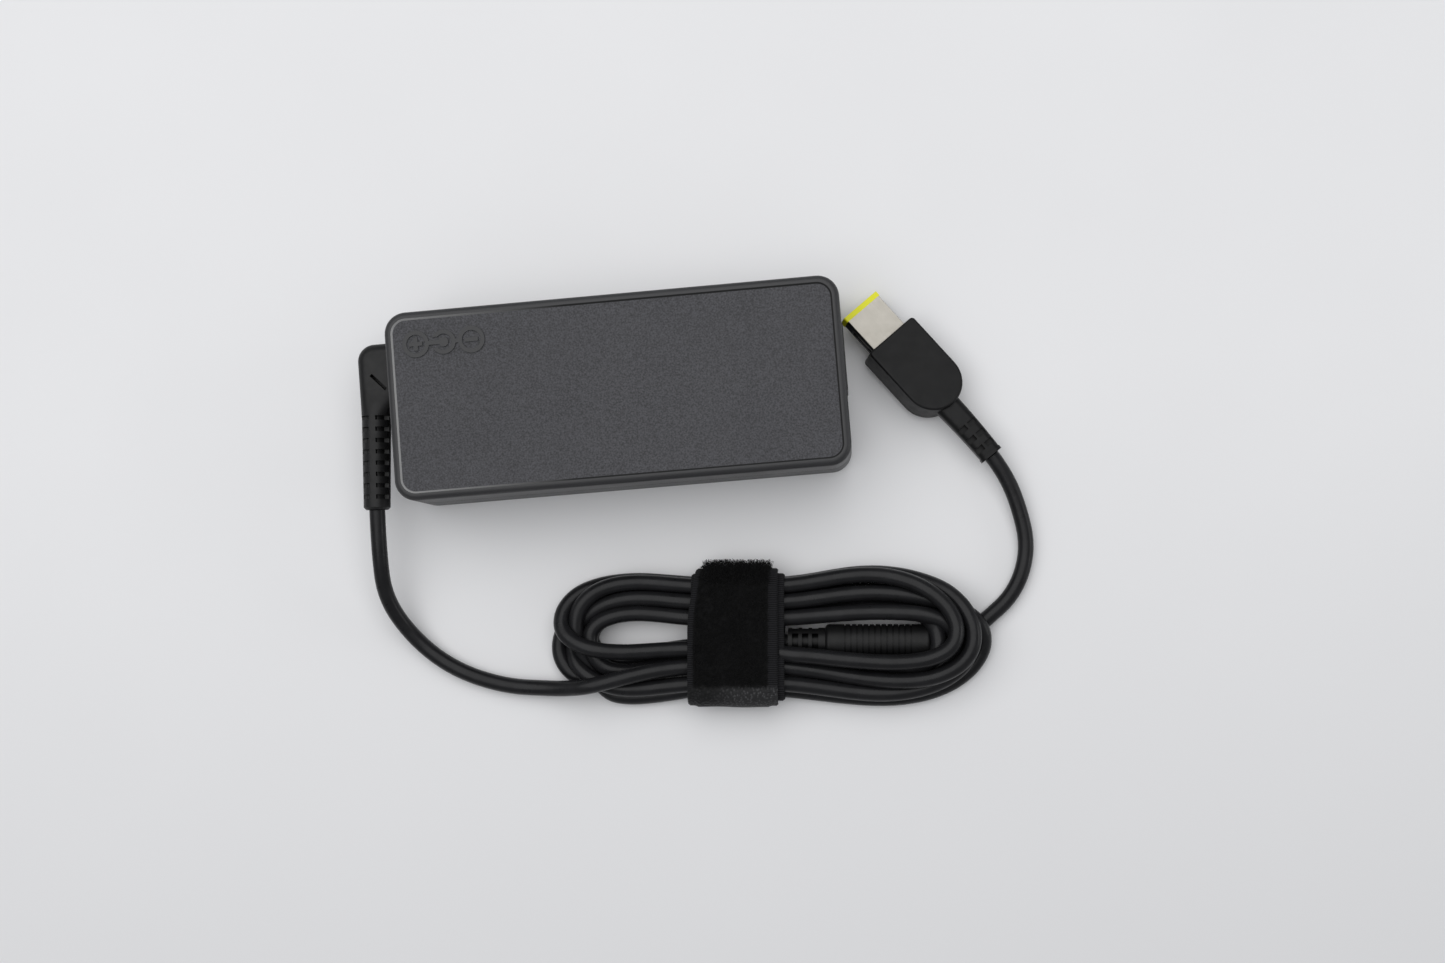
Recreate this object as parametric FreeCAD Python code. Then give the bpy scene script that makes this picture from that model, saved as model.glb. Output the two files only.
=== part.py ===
import FreeCAD
import Part
import math
import os

# Laptop power adapter: a welded two-part casing with its electronics, a ribbed right-angle
# cord outlet, a coiled low-voltage cord with an in-line ferrite, a hook-and-loop strap and a
# rectangular plug.  Millimetres, +Z up, origin under the middle of the casing, +X towards
# the mains inlet.

V = FreeCAD.Vector
os.makedirs("parts", exist_ok=True)

# ---------------------------------------------------------------- driving dimensions
CASE_L, CASE_W, CASE_H = 112.0, 46.5, 29.5
CASE_CORNER_R = 5.3
CASE_TOP_R = 1.5
CASE_BASE_R = 2.0
WALL = 2.0
SEAM_Z = 14.75
SEAM_CHAMFER = 0.25
LIP_T, LIP_H, LIP_GAP = 0.9, 1.5, 0.08
PANEL_MARGIN, PANEL_DEPTH = 1.75, 0.4
PANEL_CORNER_R = 3.7
MARK_POS = (-41.3, 15.0)
MARK_HEIGHT, MARK_STROKE = 0.38, 1.0
MARK_RING_R, MARK_OPEN_R, MARK_DOT_R, MARK_SPREAD = 3.3, 3.0, 1.2, 6.9
LABEL_L, LABEL_W, LABEL_T, LABEL_RECESS = 66.0, 34.0, 0.15, 0.25

INLET_Y, INLET_Z = 3.75, SEAM_Z
INLET_W, INLET_H, INLET_DEPTH = 15.7, 12.6, 15.0
INLET_FLANGE_W, INLET_FLANGE_H, INLET_FLANGE_T, INLET_PROUD = 16.7, 13.6, 0.8, 0.3
INLET_PIN_R, INLET_PIN_SPREAD, INLET_PIN_DROP, INLET_EARTH_RISE = 1.15, 4.0, 2.4, 3.4
INLET_LOBE_R, INLET_SOCKET_DEPTH = 3.1, 10.5

BOARD_L, BOARD_W, BOARD_T, BOARD_Z = 104.0, 40.0, 1.6, 4.6
BOARD_FILM_T = 0.3
BOARD_TOP = BOARD_Z + BOARD_T
BOSS_PLACES = [(x, y) for x in (-46, 0, 46) for y in (-17, 17)]
BOSS_R, BOARD_HOLE_R = 2.2, 1.2

OUTLET_Y, OUTLET_Z = 11.0, 14.3
OUTLET_BLOCK_W, OUTLET_BLOCK_H, OUTLET_REACH = 11.6, 8.4, 9.95
OUTLET_BLOCK_TOP, OUTLET_TAPER_L = 6.75, 6.7
OUTLET_NECK_R, OUTLET_COLLAR_R, OUTLET_COLLAR_T = 3.6, 4.6, 1.2
SLEEVE_START = (-62.2, 7.0)
SLEEVE_END = (-64.1, -23.8)
SLEEVE_R_START, SLEEVE_R_END, SLEEVE_BEVEL = 3.75, 3.35, 0.6
SLOT_ROWS, SLOT_PITCH, SLOT_FIRST_Y, SLOT_WIDTH = 8, 2.83, -0.8, 1.1
SLOT_FLOOR_R, SLOT_SPINE_W, SLOT_ROLL = 2.4, 1.6, -4.0
SLIT_POS, SLIT_ANGLE, SLIT_L, SLIT_W, SLIT_DEPTH = (-60.6, 7.9), -47.0, 5.4, 0.8, 3.0

CORD_D = 4.0
HANK_POS, HANK_ANGLE = (22.75, -62.8), -4.5
HANK_LEFT_H, HANK_RIGHT_H = 12.2, 12.6
STRAP_T, STRAP_TAB_T, STRAP_GAP = 1.1, 1.1, 0.2
STRAP_S = (-10.8, 12.5)
STRAP_TAB_S = (-11.5, 10.3)
STRAP_IN_T = (-15.0, 15.2)
STRAP_IN_H = 8.4
STRAP_CORNER_R = 4.0
PEEL_PAST_CORNER, STRAP_TAB_SKIRT = 2.2, 3.2
FERRITE_R, FERRITE_S, FERRITE_T = 4.5, (22.8, 49.2), -1.3
FERRITE_Z = FERRITE_R + 0.1
FERRITE_CORE_R, FERRITE_CORE_L = 3.7, 22.0
FERRITE_GROOVES, FERRITE_GROOVE_PITCH, FERRITE_GROOVE_W, FERRITE_GROOVE_D = 12, 1.5, 0.4, 0.35
FERRITE_RELIEF_R, FERRITE_COLLAR_R, FERRITE_RELIEF_S = 3.6, 2.9, (13.45, 52.6)
FERRITE_WINDOW_L, FERRITE_WINDOW_W, FERRITE_WINDOW_PITCH = 1.6, 4.4, 2.5

PLUG_TIP = (60.75, 17.8)
PLUG_ANGLE, PLUG_ROLL, PLUG_Z = -52.7, -13.0, 5.9
PLUG_W, PLUG_H = 11.1, 4.6
PLUG_FRAME_L, PLUG_PLATE_T, PLUG_L = 1.35, 0.3, 11.0
PLUG_PLATE_MARGIN = 0.35
PLUG_MOUTH_W, PLUG_MOUTH_H, PLUG_MOUTH_L = 9.0, 2.6, 9.4
GRIP_W, GRIP_H, GRIP_L, GRIP_EDGE_R = 15.2, 8.8, 23.3, 0.6
RELIEF_START, RELIEF_END = (80.4, -8.4, 5.6), (90.9, -22.5, 5.0)
RELIEF_START_ANGLE = -51.0
RELIEF_START_W, RELIEF_END_W, RELIEF_LIP_W, RELIEF_LIP_L = 6.6, 5.7, 6.1, 0.9
RELIEF_SLOTS, RELIEF_SLOT_W, RELIEF_SLOT_FLOOR = (0.46, 0.65, 0.83), 1.5, 1.1

# The free stretches of the cord, from the outlet to the hank and from the hank to the plug.
LEAD_IN = [(-64.1, -23.8, 14.3), (-64.7, -35.0, 13.2), (-65.0, -46.7, 8.0), (-58.8, -57.8, 2.6),
           (-49.3, -65.8, 2.1), (-37.2, -70.7, 2.1), (-24.4, -72.1, 2.2), (-13.0, -71.9, 2.8)]
LEAD_OUT = [(84.3, -64.7, 2.1), (93.9, -57.7, 2.1), (98.4, -46.6, 2.1), (96.6, -34.8, 3.0),
            (93.6, -26.6, 4.4), (90.9, -22.5, 5.0)]


# ---------------------------------------------------------------- helpers
def save(name, shape):
    shape = shape.removeSplitter() if shape.ShapeType != "Compound" else shape
    shape.exportStep("parts/%s.step" % name)


def box(x0, x1, y0, y1, z0, z1):
    return Part.makeBox(x1 - x0, y1 - y0, z1 - z0, V(x0, y0, z0))


def cylinder(radius, length, base, axis=(0, 0, 1)):
    return Part.makeCylinder(radius, length, V(*base), V(*axis))


def rounded_prism(length, width, z0, z1, radius):
    """A prism about the Z axis with rounded upright corners."""
    body = box(-length / 2, length / 2, -width / 2, width / 2, z0, z1)
    uprights = [e for e in body.Edges if abs(e.Vertexes[0].Z - e.Vertexes[1].Z) > 0.1]
    return body.makeFillet(radius, uprights)


def level_edges(shape, z, tolerance=1e-4):
    box_of = [(e, e.BoundBox) for e in shape.Edges]
    return [e for e, b in box_of if abs(b.ZMin - z) < tolerance and abs(b.ZMax - z) < tolerance]


def moved(shape, x=0.0, y=0.0, z=0.0):
    copy = shape.copy()
    copy.translate(V(x, y, z))
    return copy


def polyline_with_arcs(points):
    """Straight runs joined by tangent arcs as large as the two runs allow."""
    points = [V(*p) for p in points]
    edges = []
    radii = []
    start = points[0]
    for before, corner, after in zip(points, points[1:], points[2:]):
        back = (before - corner).normalize()
        ahead = (after - corner).normalize()
        shorter = min((before - corner).Length, (after - corner).Length)
        trim = 0.45 * shorter
        half_turn = (math.pi - back.getAngle(ahead)) / 2
        radius = trim / math.tan(half_turn)
        radii.append(radius)
        arc_start = corner + back * trim
        arc_end = corner + ahead * trim
        inward = (back + ahead).normalize()
        middle = corner + inward * (radius / math.cos(half_turn) - radius)
        edges.append(Part.LineSegment(start, arc_start).toShape())
        edges.append(Part.Arc(arc_start, middle, arc_end).toShape())
        start = arc_end
    edges.append(Part.LineSegment(start, points[-1]).toShape())
    return Part.Wire(edges), radii


def tube(name, points, diameter):
    path, radii = polyline_with_arcs(points)
    along = V(*points[1]) - V(*points[0])
    section = Part.Wire(Part.makeCircle(diameter / 2, V(*points[0]), along))
    solid = path.makePipeShell([section], True, False)
    ideal = math.pi * diameter ** 2 / 4 * path.Length
    print("%s: length %.1f, radii %s, volume ratio %.4f" % (
        name, path.Length, ["%.1f" % r for r in radii], solid.Volume / ideal))
    return solid


def on_hank(shape):
    """Place a shape drawn in the hank's own axes: X along it, Y across it."""
    placed = shape.copy()
    placed.rotate(V(0, 0, 0), V(0, 0, 1), HANK_ANGLE)
    placed.translate(V(HANK_POS[0], HANK_POS[1], 0))
    return placed


def on_plug(shape):
    """Place a shape drawn in the plug's own axes: X from its mouth to its cord."""
    placed = shape.copy()
    placed.rotate(V(0, 0, 0), V(1, 0, 0), PLUG_ROLL)
    placed.rotate(V(0, 0, 0), V(0, 0, 1), PLUG_ANGLE)
    placed.translate(V(PLUG_TIP[0], PLUG_TIP[1], PLUG_Z))
    return placed


# ---------------------------------------------------------------- casing
def casing_outside():
    body = rounded_prism(CASE_L, CASE_W, 0, CASE_H, CASE_CORNER_R)
    body = body.makeFillet(CASE_TOP_R, level_edges(body, CASE_H))
    return body.makeFillet(CASE_BASE_R, level_edges(body, 0))


def casing_hollow(inset, z0, z1):
    return rounded_prism(CASE_L - 2 * inset, CASE_W - 2 * inset, z0, z1, CASE_CORNER_R - inset)


def seam_groove():
    """A V groove round the outside where the two halves meet."""
    outer = rounded_prism(CASE_L + 2, CASE_W + 2, SEAM_Z - SEAM_CHAMFER, SEAM_Z + SEAM_CHAMFER,
                          CASE_CORNER_R + 1)
    inner = rounded_prism(CASE_L - 2 * SEAM_CHAMFER, CASE_W - 2 * SEAM_CHAMFER,
                          SEAM_Z - 1, SEAM_Z + 1, CASE_CORNER_R - SEAM_CHAMFER)
    return outer.cut(inner)


def wall_openings():
    """The hole for the cord outlet's neck and the hole and seat for the mains inlet."""
    neck = cylinder(OUTLET_NECK_R + 0.05, 6, (-CASE_L / 2 - 2, OUTLET_Y, OUTLET_Z), (1, 0, 0))
    hole = box(CASE_L / 2 - 4, CASE_L / 2 + 2, INLET_Y - INLET_W / 2 - 0.05,
               INLET_Y + INLET_W / 2 + 0.05, INLET_Z - INLET_H / 2 - 0.05,
               INLET_Z + INLET_H / 2 + 0.05)
    seat_depth = INLET_FLANGE_T - INLET_PROUD
    seat = box(CASE_L / 2 - seat_depth, CASE_L / 2 + 2, INLET_Y - INLET_FLANGE_W / 2 - 0.05,
               INLET_Y + INLET_FLANGE_W / 2 + 0.05, INLET_Z - INLET_FLANGE_H / 2 - 0.05,
               INLET_Z + INLET_FLANGE_H / 2 + 0.05)
    return neck.fuse(hole).fuse(seat)


def ring(outer_r, inner_r, height):
    return cylinder(outer_r, height, (0, 0, 0)).cut(cylinder(inner_r, height, (0, 0, 0)))


def polarity_mark():
    """A raised pictogram: a minus sign, a dot inside an open ring and a plus sign."""
    half, arm = MARK_STROKE / 2, MARK_RING_R / 2
    bar = box(-arm, arm, -half, half, 0, MARK_HEIGHT)
    upright = box(-half, half, -arm, arm, 0, MARK_HEIGHT)
    small_ring = ring(MARK_RING_R, MARK_RING_R - MARK_STROKE, MARK_HEIGHT)
    minus = moved(small_ring.fuse(bar), -MARK_SPREAD)
    plus = moved(small_ring.fuse(bar).fuse(upright), MARK_SPREAD)
    mouth = box(0, MARK_OPEN_R + 1, -MARK_OPEN_R * 0.45, MARK_OPEN_R * 0.45, 0, MARK_HEIGHT)
    open_ring = ring(MARK_OPEN_R, MARK_OPEN_R - MARK_STROKE, MARK_HEIGHT).cut(mouth)
    dot = cylinder(MARK_DOT_R, MARK_HEIGHT, (0, 0, 0))
    ring_edge = MARK_SPREAD - MARK_RING_R + half
    link_minus = box(-ring_edge, half - MARK_OPEN_R, -half, half, 0, MARK_HEIGHT)
    link_plus = box(MARK_DOT_R - half, ring_edge, -half, half, 0, MARK_HEIGHT)
    mark = minus
    for piece in (plus, open_ring, dot, link_minus, link_plus):
        mark = mark.fuse(piece)
    mark.rotate(V(0, 0, 0), V(0, 0, 1), 180)
    return moved(mark, MARK_POS[0], MARK_POS[1], CASE_H - PANEL_DEPTH)


def panel_recess():
    """The shallow textured field in the top, with a sloping edge."""
    rim_l, rim_w = CASE_L - 2 * PANEL_MARGIN, CASE_W - 2 * PANEL_MARGIN
    field = rounded_prism(rim_l, rim_w, CASE_H - PANEL_DEPTH, CASE_H + 1, PANEL_CORNER_R)
    lower = level_edges(field, CASE_H - PANEL_DEPTH)
    return field.makeChamfer(PANEL_DEPTH * 0.98, lower)


def make_top_cover():
    half = box(-80, 80, -40, 40, SEAM_Z, CASE_H + 5)
    cover = casing_outside().common(half)
    cover = cover.cut(casing_hollow(WALL, 0, CASE_H - WALL))
    rabbet = casing_hollow(WALL - LIP_T - LIP_GAP, SEAM_Z - 1, SEAM_Z + LIP_H + LIP_GAP)
    cover = cover.cut(rabbet).cut(seam_groove()).cut(wall_openings()).cut(panel_recess())
    return cover.fuse(polarity_mark())


def make_bottom_cover():
    half = box(-80, 80, -40, 40, -5, SEAM_Z)
    lower = casing_outside().common(half)
    lower = lower.cut(casing_hollow(WALL, WALL, CASE_H))
    lip = casing_hollow(WALL - LIP_T, SEAM_Z - 2, SEAM_Z + LIP_H)
    lip = lip.cut(casing_hollow(WALL, SEAM_Z - 3, SEAM_Z + 5))
    lower = lower.fuse(lip)
    boss_top = BOARD_Z - BOARD_FILM_T
    for x, y in BOSS_PLACES:
        lower = lower.fuse(cylinder(BOSS_R, boss_top - WALL + 0.5, (x, y, WALL - 0.5)))
    label_seat = box(-LABEL_L / 2 - 0.2, LABEL_L / 2 + 0.2, -LABEL_W / 2 - 0.2,
                     LABEL_W / 2 + 0.2, -1, LABEL_RECESS)
    return lower.cut(seam_groove()).cut(wall_openings()).cut(label_seat)


def make_rating_label():
    return rounded_prism(LABEL_L, LABEL_W, LABEL_RECESS - LABEL_T, LABEL_RECESS, 1.5)


# ---------------------------------------------------------------- mains inlet
def inlet_pin_places():
    low = INLET_Z - INLET_PIN_DROP
    return [(INLET_Y - INLET_PIN_SPREAD, low), (INLET_Y + INLET_PIN_SPREAD, low),
            (INLET_Y, INLET_Z + INLET_EARTH_RISE)]


def make_inlet_housing():
    face = CASE_L / 2 + INLET_PROUD
    inner = face - INLET_FLANGE_T - INLET_DEPTH
    body = box(inner, face, INLET_Y - INLET_W / 2, INLET_Y + INLET_W / 2,
               INLET_Z - INLET_H / 2, INLET_Z + INLET_H / 2)
    flange = box(face - INLET_FLANGE_T, face, INLET_Y - INLET_FLANGE_W / 2,
                 INLET_Y + INLET_FLANGE_W / 2, INLET_Z - INLET_FLANGE_H / 2,
                 INLET_Z + INLET_FLANGE_H / 2)
    body = body.fuse(flange)
    depth = INLET_SOCKET_DEPTH
    for y, z in inlet_pin_places():
        body = body.cut(cylinder(INLET_LOBE_R, depth + 1, (face - depth, y, z), (1, 0, 0)))
        body = body.cut(cylinder(INLET_PIN_R, 30, (inner - 1, y, z), (1, 0, 0)))
    middle = box(face - depth, face + 1, INLET_Y - 3.1, INLET_Y + 3.1,
                 INLET_Z - INLET_PIN_DROP - 3.1, INLET_Z + 3.2)
    return body.cut(middle)


def make_inlet_pins():
    face = CASE_L / 2 + INLET_PROUD
    inner = face - INLET_FLANGE_T - INLET_DEPTH
    pins = []
    for y, z in inlet_pin_places():
        pin = cylinder(INLET_PIN_R, face - 1.2 - inner + 2.5, (inner - 2.5, y, z), (1, 0, 0))
        tip = [e for e in pin.Edges if e.BoundBox.XMin > face - 1.3]
        pins.append(pin.makeChamfer(0.35, tip))
    return Part.makeCompound(pins)


# ---------------------------------------------------------------- electronics
def make_board():
    board = rounded_prism(BOARD_L, BOARD_W, BOARD_Z, BOARD_TOP, 3.0)
    for x, y in BOSS_PLACES:
        board = board.cut(cylinder(BOARD_HOLE_R, 5, (x, y, BOARD_Z - 1)))
    return board


def make_board_insulator():
    return rounded_prism(BOARD_L, BOARD_W + 1.0, BOARD_Z - BOARD_FILM_T, BOARD_Z, 3.0)


def fold_of_sheet(half_width, top_z, side_z, thickness, length):
    """A sheet folded over the components like an upturned trough."""
    outer = box(-length / 2, length / 2, -half_width, half_width, side_z, top_z)
    inner = box(-length / 2 - 1, length / 2 + 1, -half_width + thickness,
                half_width - thickness, side_z - 1, top_z - thickness)
    return outer.cut(inner)


def block(x0, x1, y0, y1, height, edge=0.5, lift=0.0):
    z0 = BOARD_TOP + lift
    body = box(x0, x1, y0, y1, z0, z0 + height)
    return body.makeFillet(edge, level_edges(body, z0 + height))


def disc(x, y, radius, thickness, lift):
    z = BOARD_TOP + lift + radius
    body = cylinder(radius, thickness, (x - thickness / 2, y, z), (1, 0, 0))
    body = body.makeFillet(thickness * 0.3, [e for e in body.Edges if len(e.Vertexes) == 1])
    leads = [box(x - 0.3, x + 0.3, y + s - 0.3, y + s + 0.3, BOARD_TOP, z) for s in (-2.5, 2.5)]
    return body.fuse(leads[0]).fuse(leads[1])


def can(x, y, radius, height):
    """An upright electrolytic capacitor with its crimp groove and scored top."""
    z = BOARD_TOP
    body = cylinder(radius, height, (x, y, z))
    body = body.makeFillet(0.6, level_edges(body, z + height))
    body = body.cut(cylinder(radius + 1, 0.8, (x, y, z + 1.6)).cut(
        cylinder(radius - 0.4, 0.8, (x, y, z + 1.6))))
    score = box(x - radius * 0.7, x + radius * 0.7, y - 0.2, y + 0.2, z + height - 0.3, z + 40)
    return body.cut(score)


def make_bulk_capacitor():
    radius, x0, x1, y = 8.9, -12.0, 16.3, -10.6
    z = BOARD_TOP + radius + 0.1
    body = cylinder(radius, x1 - x0, (x0, y, z), (1, 0, 0))
    body = body.makeFillet(0.8, body.Edges[0:1])
    groove = cylinder(radius + 1, 1.0, (x0 + 2.5, y, z), (1, 0, 0)).cut(
        cylinder(radius - 0.5, 1.0, (x0 + 2.5, y, z), (1, 0, 0)))
    return body.cut(groove)


CHOKE_X, CHOKE_Y = 31.0, -11.0


def make_choke_core():
    return moved(ring(7.2, 4.0, 7.5), CHOKE_X, CHOKE_Y, BOARD_TOP + 1.6)


def make_choke_windings():
    shell = moved(ring(8.6, 2.8, 10.4), CHOKE_X, CHOKE_Y, BOARD_TOP + 0.15)
    shell = shell.cut(moved(ring(7.25, 3.95, 7.6), CHOKE_X, CHOKE_Y, BOARD_TOP + 1.55))
    gap = box(CHOKE_X - 1.4, CHOKE_X + 1.4, CHOKE_Y - 12, CHOKE_Y + 12, 0, 40)
    return shell.cut(gap)


def make_bridge_rectifier():
    body = block(17.2, 21.2, -8.0, 8.0, 13.0, 0.6, 3.0)
    for y in (-6, -2, 2, 6):
        body = body.fuse(box(18.9, 19.5, y - 0.5, y + 0.5, BOARD_TOP, BOARD_TOP + 4))
    return body


def make_heat_sink(x0, x1, y0, y1, foot_side):
    plate = box(x0, x1, y0, y1, BOARD_TOP, BOARD_TOP + 18.3)
    reach = (y1, y1 + 3.0) if foot_side > 0 else (y0 - 3.0, y0)
    fold = box(x0, x1, reach[0], reach[1], BOARD_TOP + 16.8, BOARD_TOP + 18.3)
    return plate.fuse(fold)


def make_power_package(x, y_back, direction):
    """A three-legged power package standing against a plate, seen from its legs upward."""
    z = BOARD_TOP
    depth = 4.4 * direction
    y0, y1 = sorted((y_back, y_back + depth))
    body = box(x - 5, x + 5, y0, y1, z + 4.0, z + 13.2)
    t0, t1 = sorted((y_back, y_back + 1.3 * direction))
    tab = box(x - 5, x + 5, t0, t1, z + 13.2, z + 16.5)
    package = body.fuse(tab)
    for leg in (-2.54, 0.0, 2.54):
        package = package.fuse(box(x + leg - 0.4, x + leg + 0.4, y_back + 2 * direction - 0.25,
                                   y_back + 2 * direction + 0.25, z, z + 5))
    return package


TRANSFORMER_X = -26.0


def make_transformer_core():
    x, z0, z1 = TRANSFORMER_X, BOARD_TOP + 1.0, BOARD_TOP + 19.4
    core = box(x - 13, x + 13, -6, 6, z0, z1)
    window = box(x - 10, x + 10, -7, 7, z0 + 3.4, z1 - 3.4)
    centre_leg = cylinder(4.5, z1 - z0 - 4, (x, 0, z0 + 2))
    return core.cut(window.cut(centre_leg))


def make_transformer_bobbin():
    x, z0, z1 = TRANSFORMER_X, BOARD_TOP + 4.6, BOARD_TOP + 15.8
    bobbin = cylinder(9.7, 0.8, (x, 0, z0)).fuse(cylinder(9.7, 0.8, (x, 0, z1 - 0.8)))
    bobbin = bobbin.fuse(cylinder(5.5, z1 - z0, (x, 0, z0)))
    for side in (-1, 1):
        y0, y1 = sorted((side * 8.2, side * 12.4))
        bobbin = bobbin.fuse(box(x - 9, x + 9, y0, y1, BOARD_TOP + 1.0, z0 + 0.8))
    return bobbin.cut(cylinder(4.6, 30, (x, 0, z0 - 1)))


def make_transformer_winding():
    z0, z1 = BOARD_TOP + 5.45, BOARD_TOP + 14.95
    return moved(ring(9.3, 5.6, z1 - z0), TRANSFORMER_X, 0, z0)


def make_chip(x0, x1, y0, y1, height, legs):
    body = box(x0, x1, y0, y1, BOARD_TOP + 0.15, BOARD_TOP + height)
    pitch = (x1 - x0) / legs
    for i in range(legs):
        x = x0 + pitch * (i + 0.5)
        body = body.fuse(box(x - 0.2, x + 0.2, y0 - 0.8, y1 + 0.8, BOARD_TOP, BOARD_TOP + 0.5))
    return body


def make_sink_screws():
    """The pan-head screws that hold the two power packages to their plates."""
    screws = []
    for x, y_head, direction in ((7.0, 3.0, 1), (-30.0, 16.3, -1)):
        z = BOARD_TOP + 14.9
        head = cylinder(1.4, 1.3, (x, y_head, z), (0, direction, 0))
        slot = box(x - 1.5, x + 1.5, *sorted((y_head + 0.9 * direction, y_head + 3 * direction)),
                   z - 0.2, z + 0.2)
        screws.append(head.cut(slot))
    return Part.makeCompound(screws)


def make_output_wires():
    wires = []
    for y in (OUTLET_Y - 2.0, OUTLET_Y, OUTLET_Y + 2.0):
        top = OUTLET_Z
        start, bend = V(-52.6, y, top), V(-52.0, y, top)
        middle = V(-52.0 + 1.5 * math.sin(math.pi / 4), y, top - 1.5 + 1.5 * math.cos(math.pi / 4))
        fall, end = V(-50.5, y, top - 1.5), V(-50.5, y, BOARD_TOP)
        path = Part.Wire([Part.LineSegment(start, bend).toShape(),
                          Part.Arc(bend, middle, fall).toShape(),
                          Part.LineSegment(fall, end).toShape()])
        section = Part.Wire(Part.makeCircle(0.7, start, V(1, 0, 0)))
        wires.append(path.makePipeShell([section], True, False))
    return Part.makeCompound(wires)


def electronics():
    parts = {
        "circuit_board": make_board(),
        "board_insulator": make_board_insulator(),
        "heat_spreader": fold_of_sheet(21.0, 27.2, 17.0, 0.4, 100),
        "insulating_film": fold_of_sheet(20.5, 26.7, 8.0, 0.25, 100),
        "fuse": block(41.7, 50.2, -16.2, -12.2, 8.0),
        "inrush_thermistor": disc(33.0, 3.0, 4.5, 3.5, 1.0),
        "suppression_capacitor": block(21.8, 39.3, 9.6, 18.0, 14.5, 0.6),
        "bridging_capacitors": Part.makeCompound([disc(45.0, 16.2, 3.2, 3.0, 1.0),
                                                  disc(24.2, 3.0, 3.2, 2.6, 1.0)]),
        "choke_core": make_choke_core(),
        "choke_windings": make_choke_windings(),
        "bridge_rectifier": make_bridge_rectifier(),
        "bulk_capacitor": make_bulk_capacitor(),
        "primary_heat_sink": make_heat_sink(-12.0, 15.0, 0.1, 1.6, -1),
        "switching_transistor": make_power_package(7.0, 1.7, 1),
        "supply_capacitor": can(-4.0, 9.5, 3.0, 11.0),
        "primary_controller": make_chip(8.0, 13.0, 12.0, 16.0, 1.6, 4),
        "optocoupler": make_chip(-10.6, -6.0, 14.0, 19.0, 3.4, 2),
        "transformer_core": make_transformer_core(),
        "transformer_bobbin": make_transformer_bobbin(),
        "transformer_winding": make_transformer_winding(),
        "secondary_heat_sink": make_heat_sink(-40.0, -16.0, 17.7, 19.2, -1),
        "output_rectifier": make_power_package(-30.0, 17.6, -1),
        "sink_screws": make_sink_screws(),
        "output_capacitors": Part.makeCompound([can(-46.5, -13.6, 4.8, 18.5),
                                                can(-46.5, -3.4, 4.8, 18.5)]),
        "output_choke": moved(ring(4.3, 2.4, 11.0), -45.0, 6.6, BOARD_TOP + 0.1),
        "secondary_controller": make_chip(-33.0, -28.0, -19.0, -15.2, 1.6, 4),
        "output_wires": make_output_wires(),
    }
    return parts


# ---------------------------------------------------------------- cord outlet
def sleeve_axis():
    start = V(SLEEVE_START[0], SLEEVE_START[1], OUTLET_Z)
    end = V(SLEEVE_END[0], SLEEVE_END[1], OUTLET_Z)
    return start, end


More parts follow.
